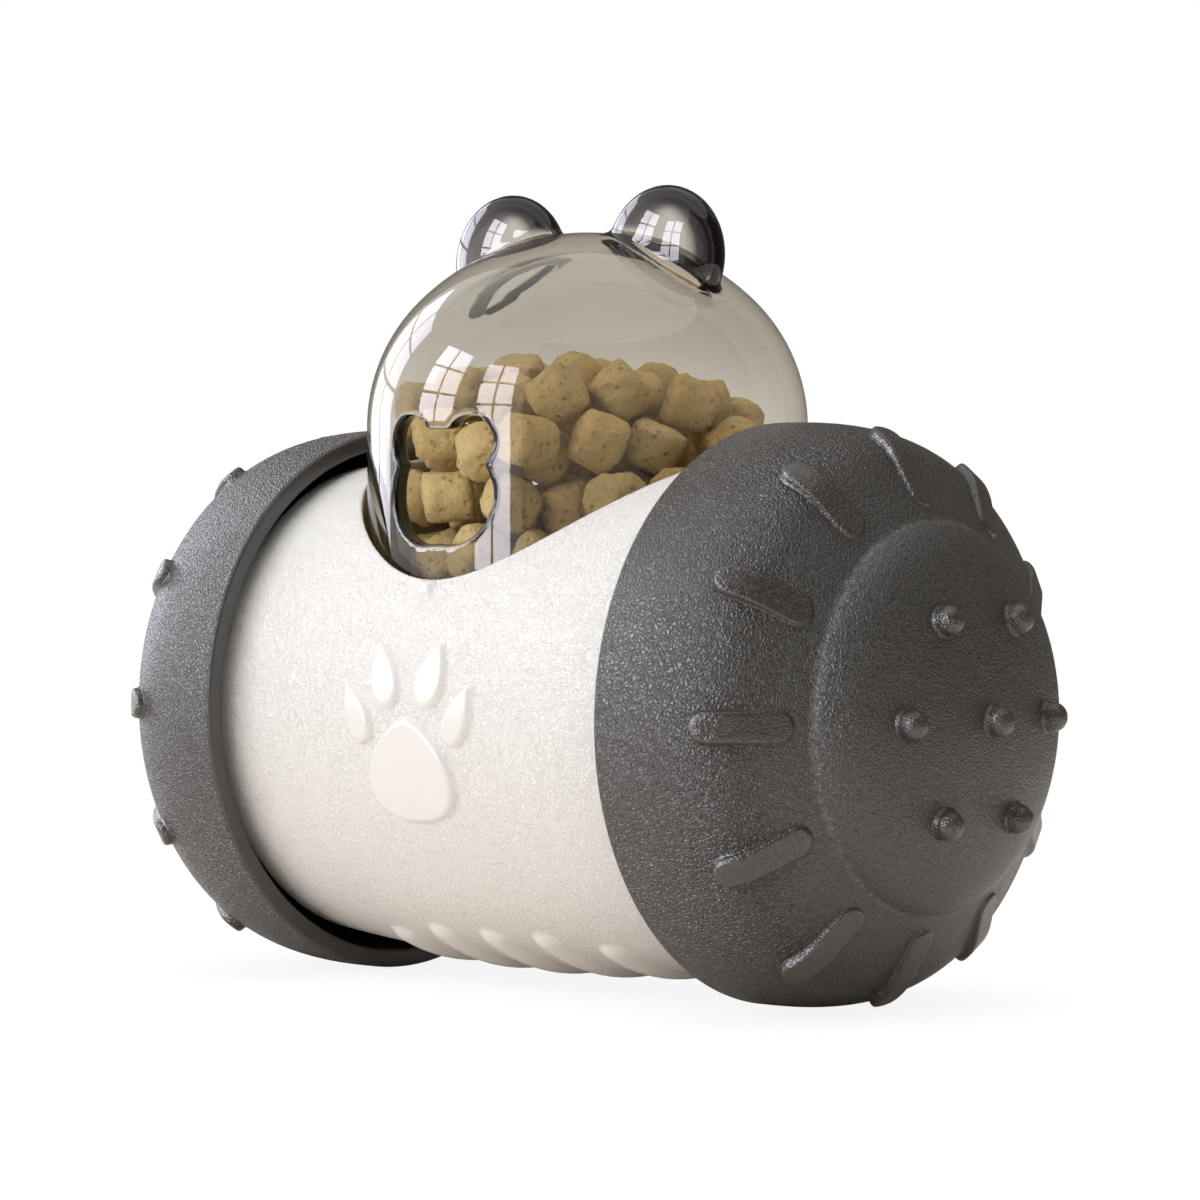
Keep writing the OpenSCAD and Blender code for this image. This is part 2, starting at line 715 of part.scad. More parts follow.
// Moves a piece in until it clears the floor, the top of the heap, the walls, the pivot and the outlet
function held(p) =
    let (half = kibble_d / 2)
    let (z = max(min(p[2], heap_at(p[0], p[1]) - half), half + fit))
    let (over = max(0, z - dome_straight))
    let (bend_r = dome_knuckle - dome_wall - half - play)
    let (bend = dome_r - dome_knuckle + sqrt(max(0, bend_r * bend_r - over * over)))
    let (side = (z - half < hopper_rim ? hopper_r - hopper_wall : dome_r - dome_wall) - half - play)
    let (pivot_top = pivot_hub + washer_t + head_h + 2 * play)
    let (low = z - half < pivot_top ? pivot_hub_r + half + play : 0)
    let (r = max(norm([p[0], p[1]]), fit))
    let (share = max(low, min(r, over > 0 ? bend : side)) / r)
    let (x = p[0] * share)
    let (y = p[1] * share)
    let (at_outlet = abs(x) < outlet_half_w + half && abs(z - outlet_up - outlet_h / 2) < outlet_h / 2 + half)
    [x, at_outlet ? max(y, dome_wall + outlet_room - dome_r + half) : y, z];

// Sum of the ways in which the pieces that lie too close push one of them
function push(p, i) =
    let (ways = [for (q = p) let (gap = p[i] - q) let (far = norm(gap))
        if (far > 0 && far < kibble_apart) gap * (kibble_apart - far) / far])
    len(ways) == 0 ? [0, 0, 0] : [for (way = ways) 1] * ways;

function settled(p, rounds) =
    rounds == 0 ? p : settled([for (i = [0 : len(p) - 1]) held(p[i] + 0.35 * push(p, i))], rounds - 1);

function heap_start() =
    let (layers = ceil(heap_h / kibble_layer))
    let (rows = ceil(dome_r / kibble_pitch) + 1)
    [
        for (k = [0 : layers], j = [-rows : rows], i = [-rows : rows])
            let (x = kibble_pitch * (i + (abs(j) % 2) / 2 + (k % 2) / 2))
            let (y = kibble_pitch * sqrt(3) * (j / 2 + (k % 2) / 6))
            let (p = [x, y, kibble_d / 2 + fit + k * kibble_layer])
            if (norm(held(p) - p) < kibble_d / 6) p
    ];

module kibble() {
    rounds = 70;
    start = heap_start();
    count = len(start);
    stir = rands(-kibble_d / 2.5, kibble_d / 2.5, 3 * count, 7);
    turns = rands(0, 360, 3 * count, 7);
    sizes = rands(0.93, 1, count, 11);
    stirred = [for (i = [0 : count - 1]) held(start[i] + [stir[3 * i], stir[3 * i + 1], stir[3 * i + 2]])];
    places = settled(stirred, rounds);
    color(treat_tan) for (i = [0 : count - 1]) {
        nearest = min([for (j = [0 : count - 1]) if (j != i) norm(places[i] - places[j])]);
        translate(places[i] + [0, 0, axle_z + seat_rise])
            rotate([turns[3 * i], turns[3 * i + 1], turns[3 * i + 2]])
                kibble_piece(min(kibble_d * sizes[i], nearest - fit));
    }
}

barrel();
end_plate(-1);  // left_end_plate
end_plate(1);  // right_end_plate
end_screws(-1);  // left_end_screws
end_screws(1);  // right_end_screws
bush(-1);  // left_bush
bush(1);  // right_bush
wheel_shell(-1);  // left_wheel_shell
wheel_shell(1);  // right_wheel_shell
wheel_core(-1);  // left_wheel_core
wheel_core(1);  // right_wheel_core
axle_washer(-1);  // left_axle_washer
axle_washer(1);  // right_axle_washer
axle_screw(-1);  // left_axle_screw
axle_screw(1);  // right_axle_screw
counterweight();
weight_cover();
weight_cover_screws();
bridge();
bridge_screws();
hopper();
seal_ring();
pivot_washer();
pivot_screw();
dome();
kibble();
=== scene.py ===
"""Dresses the treat dispensing wobble toy: bell wheels, barrel, clear eared head and its kibble."""

from __future__ import annotations

import json
import logging
import math
from dataclasses import dataclass
from enum import Enum
from functools import cache

import bmesh
import bpy
import numpy as np
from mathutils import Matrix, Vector

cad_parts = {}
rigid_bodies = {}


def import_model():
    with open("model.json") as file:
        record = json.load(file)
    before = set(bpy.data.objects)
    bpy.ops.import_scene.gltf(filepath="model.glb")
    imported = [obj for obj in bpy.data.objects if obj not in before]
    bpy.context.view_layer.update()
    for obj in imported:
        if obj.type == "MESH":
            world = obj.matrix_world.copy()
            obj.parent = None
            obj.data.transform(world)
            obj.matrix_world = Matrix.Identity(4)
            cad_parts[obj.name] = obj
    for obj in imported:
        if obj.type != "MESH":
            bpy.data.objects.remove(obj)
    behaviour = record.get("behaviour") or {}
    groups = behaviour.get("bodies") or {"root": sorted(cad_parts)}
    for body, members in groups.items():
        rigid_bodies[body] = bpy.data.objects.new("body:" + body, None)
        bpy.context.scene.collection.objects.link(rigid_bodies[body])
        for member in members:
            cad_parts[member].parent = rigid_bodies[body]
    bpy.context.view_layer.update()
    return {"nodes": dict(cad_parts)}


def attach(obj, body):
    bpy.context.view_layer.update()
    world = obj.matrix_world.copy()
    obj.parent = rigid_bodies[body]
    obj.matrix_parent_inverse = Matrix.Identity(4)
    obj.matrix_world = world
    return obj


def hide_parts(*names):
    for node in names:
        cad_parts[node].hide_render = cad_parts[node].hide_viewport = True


LOG = logging.getLogger("wobble_toy")
MM = 0.001
AXLE_Z = 42.0
SEAT_Z = 52.156
MERGE_DISTANCE = 2e-6
FLAT_DISTANCE = 1e-7
FULL_TURN = 2 * math.pi
Colour = tuple[float, float, float]
WHITE: Colour = (1.0, 1.0, 1.0)


class Side(Enum):
    """The two ends of the axle."""

    LEFT = -1
    RIGHT = 1

    @property
    def word(self) -> str:
        """The side's name as the frame spells it."""
        return self.name.lower()


class Body(Enum):
    """The moving bodies of the frame."""

    BARREL = "barrel"
    LEFT_WHEEL = "left_wheel"
    RIGHT_WHEEL = "right_wheel"
    HOPPER = "hopper"
    DOME = "dome"


def even_turns(count: int) -> np.ndarray:
    """Angles that part a full turn evenly, from 0."""
    return np.linspace(0.0, FULL_TURN, count, endpoint=False)


def smooth_step(low: float, high: float, value: np.ndarray) -> np.ndarray:
    """Eases values from 0, at the low one, to 1, at the high one."""
    share = np.clip((value - low) / (high - low), 0.0, 1.0)
    return share * share * (3.0 - 2.0 * share)


def soft_edge(inset: np.ndarray, width: float) -> np.ndarray:
    """Height of a moulded edge from 0 to 1: a quarter round over a width inside the outline, then flat."""
    share = np.clip(inset / width, 0.0, 1.0)
    return np.sqrt(1.0 - (1.0 - share) ** 2)


def cubic(control: np.ndarray, steps: int) -> np.ndarray:
    """Samples a cubic curve.

    Args:
        control: Four control points.
        steps: Number of spans.

    Returns:
        Points along the curve, both ends included.
    """
    t = np.linspace(0.0, 1.0, steps + 1)[:, None]
    return (
        (1 - t) ** 3 * control[0]
        + 3 * t * (1 - t) ** 2 * control[1]
        + 3 * t * t * (1 - t) * control[2]
        + t**3 * control[3]
    )


def soften_corner(before: np.ndarray, after: np.ndarray, reach: float, steps: int) -> np.ndarray:
    """Joins two runs of points by a short curve in place of their common corner.

    Args:
        before: Points that end at the corner.
        after: Points that start at the corner.
        reach: Distance from the corner at which the curve starts and ends.
        steps: Number of spans of the curve.

    Returns:
        One run of points.
    """
    corner = before[-1]
    kept_before = before[np.linalg.norm(before - corner, axis=1) > reach]
    kept_after = after[np.linalg.norm(after - corner, axis=1) > reach]
    t = np.linspace(0.0, 1.0, steps + 1)[1:-1, None]
    curve = (1 - t) ** 2 * kept_before[-1] + 2 * t * (1 - t) * corner + t * t * kept_after[0]
    return np.concatenate([kept_before, curve, kept_after])


def outline_inset(points: np.ndarray, outline: np.ndarray) -> np.ndarray:
    """Measures how far points lie inside a closed outline.

    Args:
        points: Points in the plane.
        outline: Corners of the outline.

    Returns:
        Distance to the outline, positive inside.
    """
    start = outline
    span = np.roll(outline, -1, axis=0) - start
    offset = points[:, None, :] - start[None]
    share = np.clip((offset * span).sum(-1) / np.maximum((span * span).sum(-1), 1e-12), 0.0, 1.0)
    distance = np.linalg.norm(offset - share[..., None] * span, axis=-1).min(axis=1)
    end = start + span
    crosses = (start[:, 1] > points[:, None, 1]) != (end[:, 1] > points[:, None, 1])
    rise = np.where(np.abs(span[:, 1]) < 1e-12, 1e-12, span[:, 1])
    cut = start[:, 0] + (points[:, None, 1] - start[:, 1]) / rise * span[:, 0]
    inside = (crosses & (points[:, None, 0] < cut)).sum(axis=1) % 2 == 1
    return np.where(inside, distance, -distance)


class MeshDraft:
    """Points in millimetres and faces that grow into one mesh piece."""

    def __init__(self) -> None:
        """Starts with nothing."""
        self.points: list[np.ndarray] = []
        self.faces: list[tuple[int, ...]] = []
        self.count = 0

    def add(self, points: np.ndarray) -> np.ndarray:
        """Adds points.

        Args:
            points: A grid or list of points.

        Returns:
            The index of each point, in the same grid.
        """
        flat = points.reshape(-1, 3)
        index = np.arange(self.count, self.count + len(flat)).reshape(points.shape[:-1])
        self.points.append(flat)
        self.count += len(flat)
        return index

    def quads(self, index: np.ndarray, wrap: bool = False) -> None:
        """Fills a grid with quads.

        Args:
            index: Indices of the grid's points.
            wrap: Whether the last column joins the first.
        """
        near = index if wrap else index[:, :-1]
        far = np.roll(index, -1, axis=1) if wrap else index[:, 1:]
        cells = np.stack([near[:-1], near[1:], far[1:], far[:-1]], axis=-1)
        self.faces.extend(map(tuple, cells.reshape(-1, 4).tolist()))

    def tube(self, rings: np.ndarray) -> None:
        """Adds closed rings of points, each joined to the next, and caps the first.

        Args:
            rings: The points of each ring.
        """
        index = self.add(rings)
        self.quads(index, wrap=True)
        self.faces.append(tuple(index[0].tolist()))

    def build(self, name: str, marks: dict[str, np.ndarray] | None = None) -> bpy.types.Object:
        """Makes the mesh, merges what coincides and turns its faces outward.

        Args:
            name: Name of the piece.
            marks: Values for each point, kept as attributes of the mesh.

        Returns:
            The new object, at the origin.
        """
        mesh = bpy.data.meshes.new(name)
        mesh.from_pydata((np.concatenate(self.points) * MM).tolist(), [], self.faces)
        for title, values in (marks or {}).items():
            layer = mesh.attributes.new(title, "FLOAT", "POINT")
            layer.data.foreach_set("value", values.astype(np.float32).ravel())
        work = bmesh.new()
        work.from_mesh(mesh)
        bmesh.ops.remove_doubles(work, verts=work.verts, dist=MERGE_DISTANCE)
        bmesh.ops.dissolve_degenerate(work, edges=work.edges, dist=FLAT_DISTANCE)
        bmesh.ops.recalc_face_normals(work, faces=work.faces)
        work.to_mesh(mesh)
        work.free()
        mesh.shade_smooth()
        return link_object(name, mesh)


def link_object(name: str, mesh: bpy.types.Mesh) -> bpy.types.Object:
    """Puts a mesh in the scene.

    Args:
        name: Name of the object.
        mesh: Its mesh.

    Returns:
        The new object.
    """
    item = bpy.data.objects.new(name, mesh)
    bpy.context.scene.collection.objects.link(item)
    return item


class NodeKit:
    """Short ways to add and link the nodes of one tree."""

    def __init__(self, tree: bpy.types.NodeTree) -> None:
        """Keeps the tree that the nodes go into."""
        self.tree = tree

    def fill(self, node: bpy.types.Node, values: dict[str | int, object]) -> None:
        """Fills the inputs of a node.

        Args:
            node: The node.
            values: Inputs by name or place: a socket is linked, anything else is set.
        """
        for key, value in values.items():
            if isinstance(value, bpy.types.NodeSocket):
                self.tree.links.new(value, node.inputs[key])
            else:
                node.inputs[key].default_value = value

    def add(
        self, kind: str, values: dict[str | int, object] | None = None, **settings: object
    ) -> bpy.types.Node:
        """Adds a node.

        Args:
            kind: The node's type.
            values: Its inputs by name or place.
            settings: Properties of the node itself.

        Returns:
            The new node.
        """
        node = self.tree.nodes.new(kind)
        for title, setting in settings.items():
            setattr(node, title, setting)
        self.fill(node, values or {})
        return node

    def maths(self, operation: str, first: object, second: object) -> bpy.types.NodeSocket:
        """Result of a Math node on two numbers or sockets."""
        return self.add("ShaderNodeMath", {0: first, 1: second}, operation=operation).outputs[0]

    def plus(self, first: object, second: object) -> bpy.types.NodeSocket:
        """Sum of two numbers or sockets."""
        return self.maths("ADD", first, second)

    def minus(self, first: object, second: object) -> bpy.types.NodeSocket:
        """Difference of two numbers or sockets."""
        return self.maths("SUBTRACT", first, second)

    def times(self, first: object, second: object) -> bpy.types.NodeSocket:
        """Product of two numbers or sockets."""
        return self.maths("MULTIPLY", first, second)

    def vector(self, operation: str, first: object, second: object) -> bpy.types.NodeSocket:
        """Result of a Vector Math node on two vectors or sockets."""
        return self.add("ShaderNodeVectorMath", {0: first, 1: second}, operation=operation).outputs[0]

    def length(self, vector: bpy.types.NodeSocket) -> bpy.types.NodeSocket:
        """Length of a vector."""
        return self.add("ShaderNodeVectorMath", {0: vector}, operation="LENGTH").outputs["Value"]

    def parts(self, vector: bpy.types.NodeSocket) -> bpy.types.NodeOutputs:
        """The X, Y and Z of a vector."""
        return self.add("ShaderNodeSeparateXYZ", {0: vector}).outputs

    def noise(self, place: bpy.types.NodeSocket, scale: object, **values: float) -> bpy.types.NodeOutputs:
        """Outputs of a noise texture of some scale, with any other inputs by name."""
        return self.add("ShaderNodeTexNoise", {"Vector": place, "Scale": scale, **values}).outputs

    def mark(self, name: str) -> bpy.types.NodeSocket:
        """A mark that the mesh carries."""
        return self.add("ShaderNodeAttribute", None, attribute_name=name).outputs["Fac"]

    def ease(
        self, value: object, low: float, high: float, start: float = 0.0, end: float = 1.0
    ) -> bpy.types.NodeSocket:
        """Eases a number or socket from a start, at the low value, to an end, at the high one."""
        values = {"Value": value, "From Min": low, "From Max": high, "To Min": start, "To Max": end}
        return self.add("ShaderNodeMapRange", values, interpolation_type="SMOOTHSTEP").outputs["Result"]

    def mix(self, share: object, first: object, second: object) -> bpy.types.NodeSocket:
        """Mix of two colours or sockets by the share of the second."""
        return self.add("ShaderNodeMix", {0: share, 6: first, 7: second}, data_type="RGBA").outputs[2]


def solid(colour: Colour) -> tuple[float, float, float, float]:
    """Gives a colour its alpha."""
    return (*colour, 1.0)


class Effects:
    """Shader node groups that several finishes share, each built once."""

    @staticmethod
    def start(name: str, inputs: dict[str, str], outputs: list[str]) -> tuple[NodeKit, bpy.types.NodeOutputs]:
        """Opens a new group.

        Args:
            name: Name of the group.
            inputs: Names of its inputs and their socket types.
            outputs: Names of its outputs, all numbers.
        """
        tree = bpy.data.node_groups.new(name, "ShaderNodeTree")
        for title, kind in inputs.items():
            tree.interface.new_socket(title, in_out="INPUT", socket_type=kind)
        for title in outputs:
            tree.interface.new_socket(title, in_out="OUTPUT", socket_type="NodeSocketFloat")
        kit = NodeKit(tree)
        return kit, kit.add("NodeGroupInput").outputs

    @staticmethod
    @cache
    def leather_grain() -> bpy.types.NodeTree:
        """Moulded leather grain: pebbles with creases between them, and a finer tooth.

        Returns:
            The group, with outputs Height and Crease.
        """
        kit, given = Effects.start(
            "leather_grain",
            {"Vector": "NodeSocketVector", "Cells": "NodeSocketFloat", "Mask": "NodeSocketFloat"},
            ["Height", "Crease"],
        )
        wander_scale = 0.6
        wander_reach = 0.0012
        crease_width = 0.28
        tooth_scale = 3.1
        tooth_height = 0.45
        wander = kit.noise(given["Vector"], kit.times(given["Cells"], wander_scale))["Color"]
        shift = kit.vector("MULTIPLY", wander, (wander_reach,) * 3)
        place = kit.vector("ADD", given["Vector"], shift)
        cells = kit.add(
            "ShaderNodeTexVoronoi", {"Vector": place, "Scale": given["Cells"]}, feature="DISTANCE_TO_EDGE"
        )
        pebble = kit.ease(cells.outputs["Distance"], 0.0, crease_width)
        tooth = kit.noise(given["Vector"], kit.times(given["Cells"], tooth_scale), Detail=3.0)["Fac"]
        bare = kit.minus(1.0, given["Mask"])
        height = kit.times(kit.plus(pebble, kit.times(tooth, tooth_height)), bare)
        # Crease mask: the finishes use it for painted shade in the creases and for rougher creases.
        crease = kit.times(kit.minus(1.0, pebble), bare)
        kit.add("NodeGroupOutput", {"Height": height, "Crease": crease})
        return kit.tree

    @staticmethod
    @cache
    def mottle() -> bpy.types.NodeTree:
        """Cloudy change of tone, with handling marks on top.

        Returns:
            The group, with outputs Tone and Smudge.
        """
        kit, given = Effects.start(
            "mottle", {"Vector": "NodeSocketVector", "Scale": "NodeSocketFloat"}, ["Tone", "Smudge"]
        )
        cloud_range = (0.3, 0.7)
        wipe_scale = 2.7
        wipe_range = (0.5, 0.75)
        cloud = kit.noise(given["Vector"], given["Scale"], Detail=4.0)["Fac"]
        strokes = kit.times(given["Scale"], wipe_scale)
        wipe = kit.noise(given["Vector"], strokes, Detail=2.0, Distortion=1.5)["Fac"]
        tone = kit.ease(cloud, *cloud_range)
        kit.add("NodeGroupOutput", {"Tone": tone, "Smudge": kit.ease(wipe, *wipe_range)})
        return kit.tree


class Paint:
    """A material under construction, with its coordinates and its surface shader."""

    def __init__(self, name: str) -> None:
        """Starts the material.

        Args:
            name: Name of the material.
        """
        self.material = bpy.data.materials.new(name)
        self.material.use_nodes = True
        tree = self.material.node_tree
        tree.nodes.clear()
        self.kit = NodeKit(tree)
        self.place = self.kit.add("ShaderNodeTexCoord").outputs["Object"]
        self.surface = self.kit.add("ShaderNodeBsdfPrincipled")
        self.output = self.kit.add("ShaderNodeOutputMaterial", {"Surface": self.surface.outputs[0]})

    def set(self, **values: object) -> None:
        """Fills inputs of the surface shader, whose spaces are written as underscores."""
        self.kit.fill(self.surface, {title.replace("_", " "): value for title, value in values.items()})

    def effect(self, group: bpy.types.NodeTree, **values: object) -> bpy.types.NodeOutputs:
        """Places a shared effect with its own values, and gives its outputs."""
        return self.kit.add("ShaderNodeGroup", {"Vector": self.place, **values}, node_tree=group).outputs

    def bump(self, height: bpy.types.NodeSocket, depth: float) -> None:
        """Raises the surface by a height, from 0 to about 1, of a depth in metres."""
        node = self.kit.add("ShaderNodeBump", {"Height": height, "Distance": depth, "Strength": 1.0})
        self.set(Normal=node.outputs[0])

    def swap(self, shader: bpy.types.Node) -> None:
        """Puts another shader in place of the surface shader."""
        self.kit.fill(self.output, {"Surface": shader.outputs[0]})
        self.kit.tree.nodes.remove(self.surface)


@dataclass(frozen=True)
class MouldedFinish:
    """Moulded plastic or rubber with a leather grain, which a mark on the mesh can calm or leave off; painted
    shade in the grain's creases, and a painted highlight along an edge mark.
    """

    name: str
    colour: Colour
    shade: Colour
    roughness: float
    cells: float
    depth: float
    polish: float = 0.4
    mark: str = ""
    marked_colour: Colour | None = None
    gloss: float = 0.5
    index: float = 1.5
    # How dark the painted shade in the grain's creases is, as a share of the second tone.
    crease: float = 0.85
    spread: float = 0.0
    # The edge mark and its colour paint a highlight, which noise breaks into glints.
    edge: str = ""
    edge_colour: Colour = (0.17, 0.16, 0.15)
    cloud_scale: float = 38.0
    cloud_share: float = 0.55
    # How much of the painted shade the grain's creases take.
    crease_share: float = 0.5
    smudge: float = 0.08
    # Scale of the noise that breaks the painted highlight into glints.
    rub_scale: float = 900.0

    def material(self) -> bpy.types.Material:
        """Builds the material.

        Returns:
            The new material.
        """
        paint = Paint(self.name)
        kit = paint.kit
        mask = kit.mark(self.mark) if self.mark else 0.0
        grain = paint.effect(Effects.leather_grain(), Cells=self.cells, Mask=mask)
        cloud = paint.effect(Effects.mottle(), Scale=self.cloud_scale)
        tone = kit.mix(kit.times(cloud["Tone"], self.cloud_share), solid(self.colour), solid(self.shade))
        # Painted shade: the grain's creases are darkened.
        crease_shade = solid(tuple(self.crease * part for part in self.shade))
        tone = kit.mix(kit.times(grain["Crease"], self.crease_share), tone, crease_shade)
        rough = kit.plus(self.roughness, kit.times(cloud["Smudge"], self.smudge))
        rough = kit.plus(rough, kit.times(grain["Crease"], self.spread))
        # Painted highlight: a lighter line along the marked edge, broken into glints by noise.
        if self.edge:
            glint_noise = kit.noise(paint.place, self.rub_scale, Detail=3.0)["Fac"]
            share = kit.times(kit.mark(self.edge), kit.ease(glint_noise, 0.42, 0.62, 0.12, 1.0))
            tone = kit.mix(share, tone, solid(self.edge_colour))
        if self.mark:
            tone = kit.mix(mask, tone, solid(self.marked_colour or self.colour))
            rough = kit.plus(rough, kit.times(mask, self.polish - self.roughness))
        paint.set(Base_Color=tone, Roughness=rough, Specular_IOR_Level=self.gloss, IOR=self.index)
        paint.bump(grain["Height"], self.depth)
        return paint.material


@dataclass(frozen=True)
class MetalFinish:
    """Turned or cast metal with fine scratches and dull patches."""

    name: str
    colour: Colour
    shade: Colour
    roughness: float
    grain: float
    depth: float
    cloud_scale: float = 120.0
    smudge: float = 0.18

    def material(self) -> bpy.types.Material:
        """Builds the material.

        Returns:
            The new material.
        """
        paint = Paint(self.name)
        kit = paint.kit
        cloud = paint.effect(Effects.mottle(), Scale=self.cloud_scale)
        scratch = kit.noise(paint.place, self.grain, Detail=6.0)["Fac"]
        tone = kit.mix(cloud["Tone"], solid(self.colour), solid(self.shade))
        rough = kit.plus(self.roughness, kit.times(cloud["Smudge"], self.smudge))
        paint.set(Base_Color=tone, Roughness=rough, Metallic=1.0)
        paint.bump(scratch, self.depth)
        return paint.material


@dataclass(frozen=True)
class SmokeFinish:
    """Clear smoky plastic, tinted through its thickness, with faint handling smudges and near-black painted
    shade on the ear rims.
    """

    name: str
    tint: Colour
    density: float
    crown_tint: Colour
    crown_low: float
    crown_high: float
    roughness: float
    rim_tint: Colour
    crown_middle: float = 0.07715
    crown_radius: float = 0.0359
    ear_place: tuple[float, float] = (0.0155, 0.108956)
    rim_clear: tuple[float, float] = (0.0006, 0.0022)
    rim_foot: tuple[float, float] = (0.0105, 0.009)
    rim_reach: tuple[float, float] = (0.0068, 0.0086)
    passing: Colour = (0.98, 0.975, 0.965)
    index: float = 1.49
    cloud_scale: float = 30.0
    smudge: float = 0.015

    def rim(self, paint: Paint) -> bpy.types.NodeSocket:
        """Marks the thick rims of the ears, which stand clear of the crown, for their painted shade.

        Args:
            paint: The material under construction.

        Returns:
            A mask that is 1 on the rims.
        """
        kit = paint.kit
        ear_x, ear_z = self.ear_place
        away = kit.length(kit.vector("SUBTRACT", paint.place, (0.0, 0.0, self.crown_middle)))
        clear = kit.ease(away, *(self.crown_radius + gap for gap in self.rim_clear))
        parts = kit.parts(paint.place)
        across = kit.minus(kit.maths("ABSOLUTE", parts["X"], 0.0), ear_x)
        above = kit.minus(parts["Z"], ear_z)
        reach = kit.maths("POWER", kit.plus(kit.times(across, across), kit.times(above, above)), 0.5)
        high = kit.ease(parts["Z"], *(ear_z - drop for drop in self.rim_foot))
        return kit.times(kit.times(clear, high), kit.ease(reach, *self.rim_reach))

    def material(self) -> bpy.types.Material:
        """Builds the material, deeper in tint towards the crown. Light reaches what lies behind it unbent.

        Returns:
            The new material.
        """
        paint = Paint(self.name)
        kit = paint.kit
        cloud = paint.effect(Effects.mottle(), Scale=self.cloud_scale)
        rough = kit.plus(self.roughness, kit.times(cloud["Smudge"], self.smudge))
        crown = kit.ease(kit.parts(paint.place)["Z"], self.crown_low, self.crown_high)
        tone = kit.mix(crown, solid(WHITE), solid(self.crown_tint))
        # Painted shade: the ear rims are darkened nearly to black.
        tone = kit.mix(self.rim(paint), tone, solid(self.rim_tint))
        paint.set(Base_Color=tone, Roughness=rough, IOR=self.index, Transmission_Weight=1.0)
        rays = kit.add("ShaderNodeLightPath").outputs
        clear = kit.add("ShaderNodeBsdfTransparent", {"Color": solid(self.passing)})
        passes = kit.maths("MAXIMUM", rays["Is Shadow Ray"], rays["Is Diffuse Ray"])
        both = kit.add("ShaderNodeMixShader", {0: passes, 1: paint.surface.outputs[0], 2: clear.outputs[0]})
        soak = kit.add("ShaderNodeVolumeAbsorption", {"Color": solid(self.tint), "Density": self.density})
        kit.fill(paint.output, {"Surface": both.outputs[0], "Volume": soak.outputs[0]})
        return paint.material


@dataclass(frozen=True)
class KibbleFinish:
    """Baked kibble: crumbly, with a tone of its own for each piece, and darker specks and pores in the low
    spots of its bump: its dark bits, with painted shade in its hollows.
    """

    name: str
    pale: Colour
    dark: Colour
    # Colour of the specks and pores: dark bits, with painted shade in the hollows.
    pore: Colour
    mark: str
    piece_share: float = 0.5
    baked_scale: float = 260.0
    baked_share: float = 0.35
    crumb_scale: float = 1250.0
    speck_share: float = 0.36
    pore_scale: float = 620.0
    pore_share: float = 0.3
    pore_depth: float = 0.6
    roughness: float = 0.92
    depth: float = 0.0013

    def material(self) -> bpy.types.Material:
        """Builds the material.

        Returns:
            The new material.
        """
        paint = Paint(self.name)
        kit = paint.kit
        baked = paint.effect(Effects.mottle(), Scale=self.baked_scale)["Tone"]
        crumb = kit.noise(paint.place, self.crumb_scale, Detail=5.0, Roughness=0.75)["Fac"]
        pores = kit.add(
            "ShaderNodeTexVoronoi", {"Vector": paint.place, "Scale": self.pore_scale, "Randomness": 1.0}
        )
        level = kit.ease(pores.outputs["Distance"], 0.08, 0.34)
        share = kit.plus(kit.times(kit.mark(self.mark), self.piece_share), kit.times(baked, self.baked_share))
        tone = kit.mix(share, solid(self.pale), solid(self.dark))
        # Darker in the low spots of the crumb and in the pores' pits, where the bump sinks: dark bits, with
        # painted shade in the hollows.
        speck_and_shade = kit.ease(crumb, 0.34, 0.5, 1.0, 0.0)
        tone = kit.mix(kit.times(speck_and_shade, self.speck_share), tone, solid(self.pore))
        tone = kit.mix(kit.times(kit.minus(1.0, level), self.pore_share), tone, solid(self.pore))
        paint.set(Base_Color=tone, Roughness=self.roughness)
        paint.bump(kit.plus(crumb, kit.times(level, self.pore_depth)), self.depth)
        return paint.material


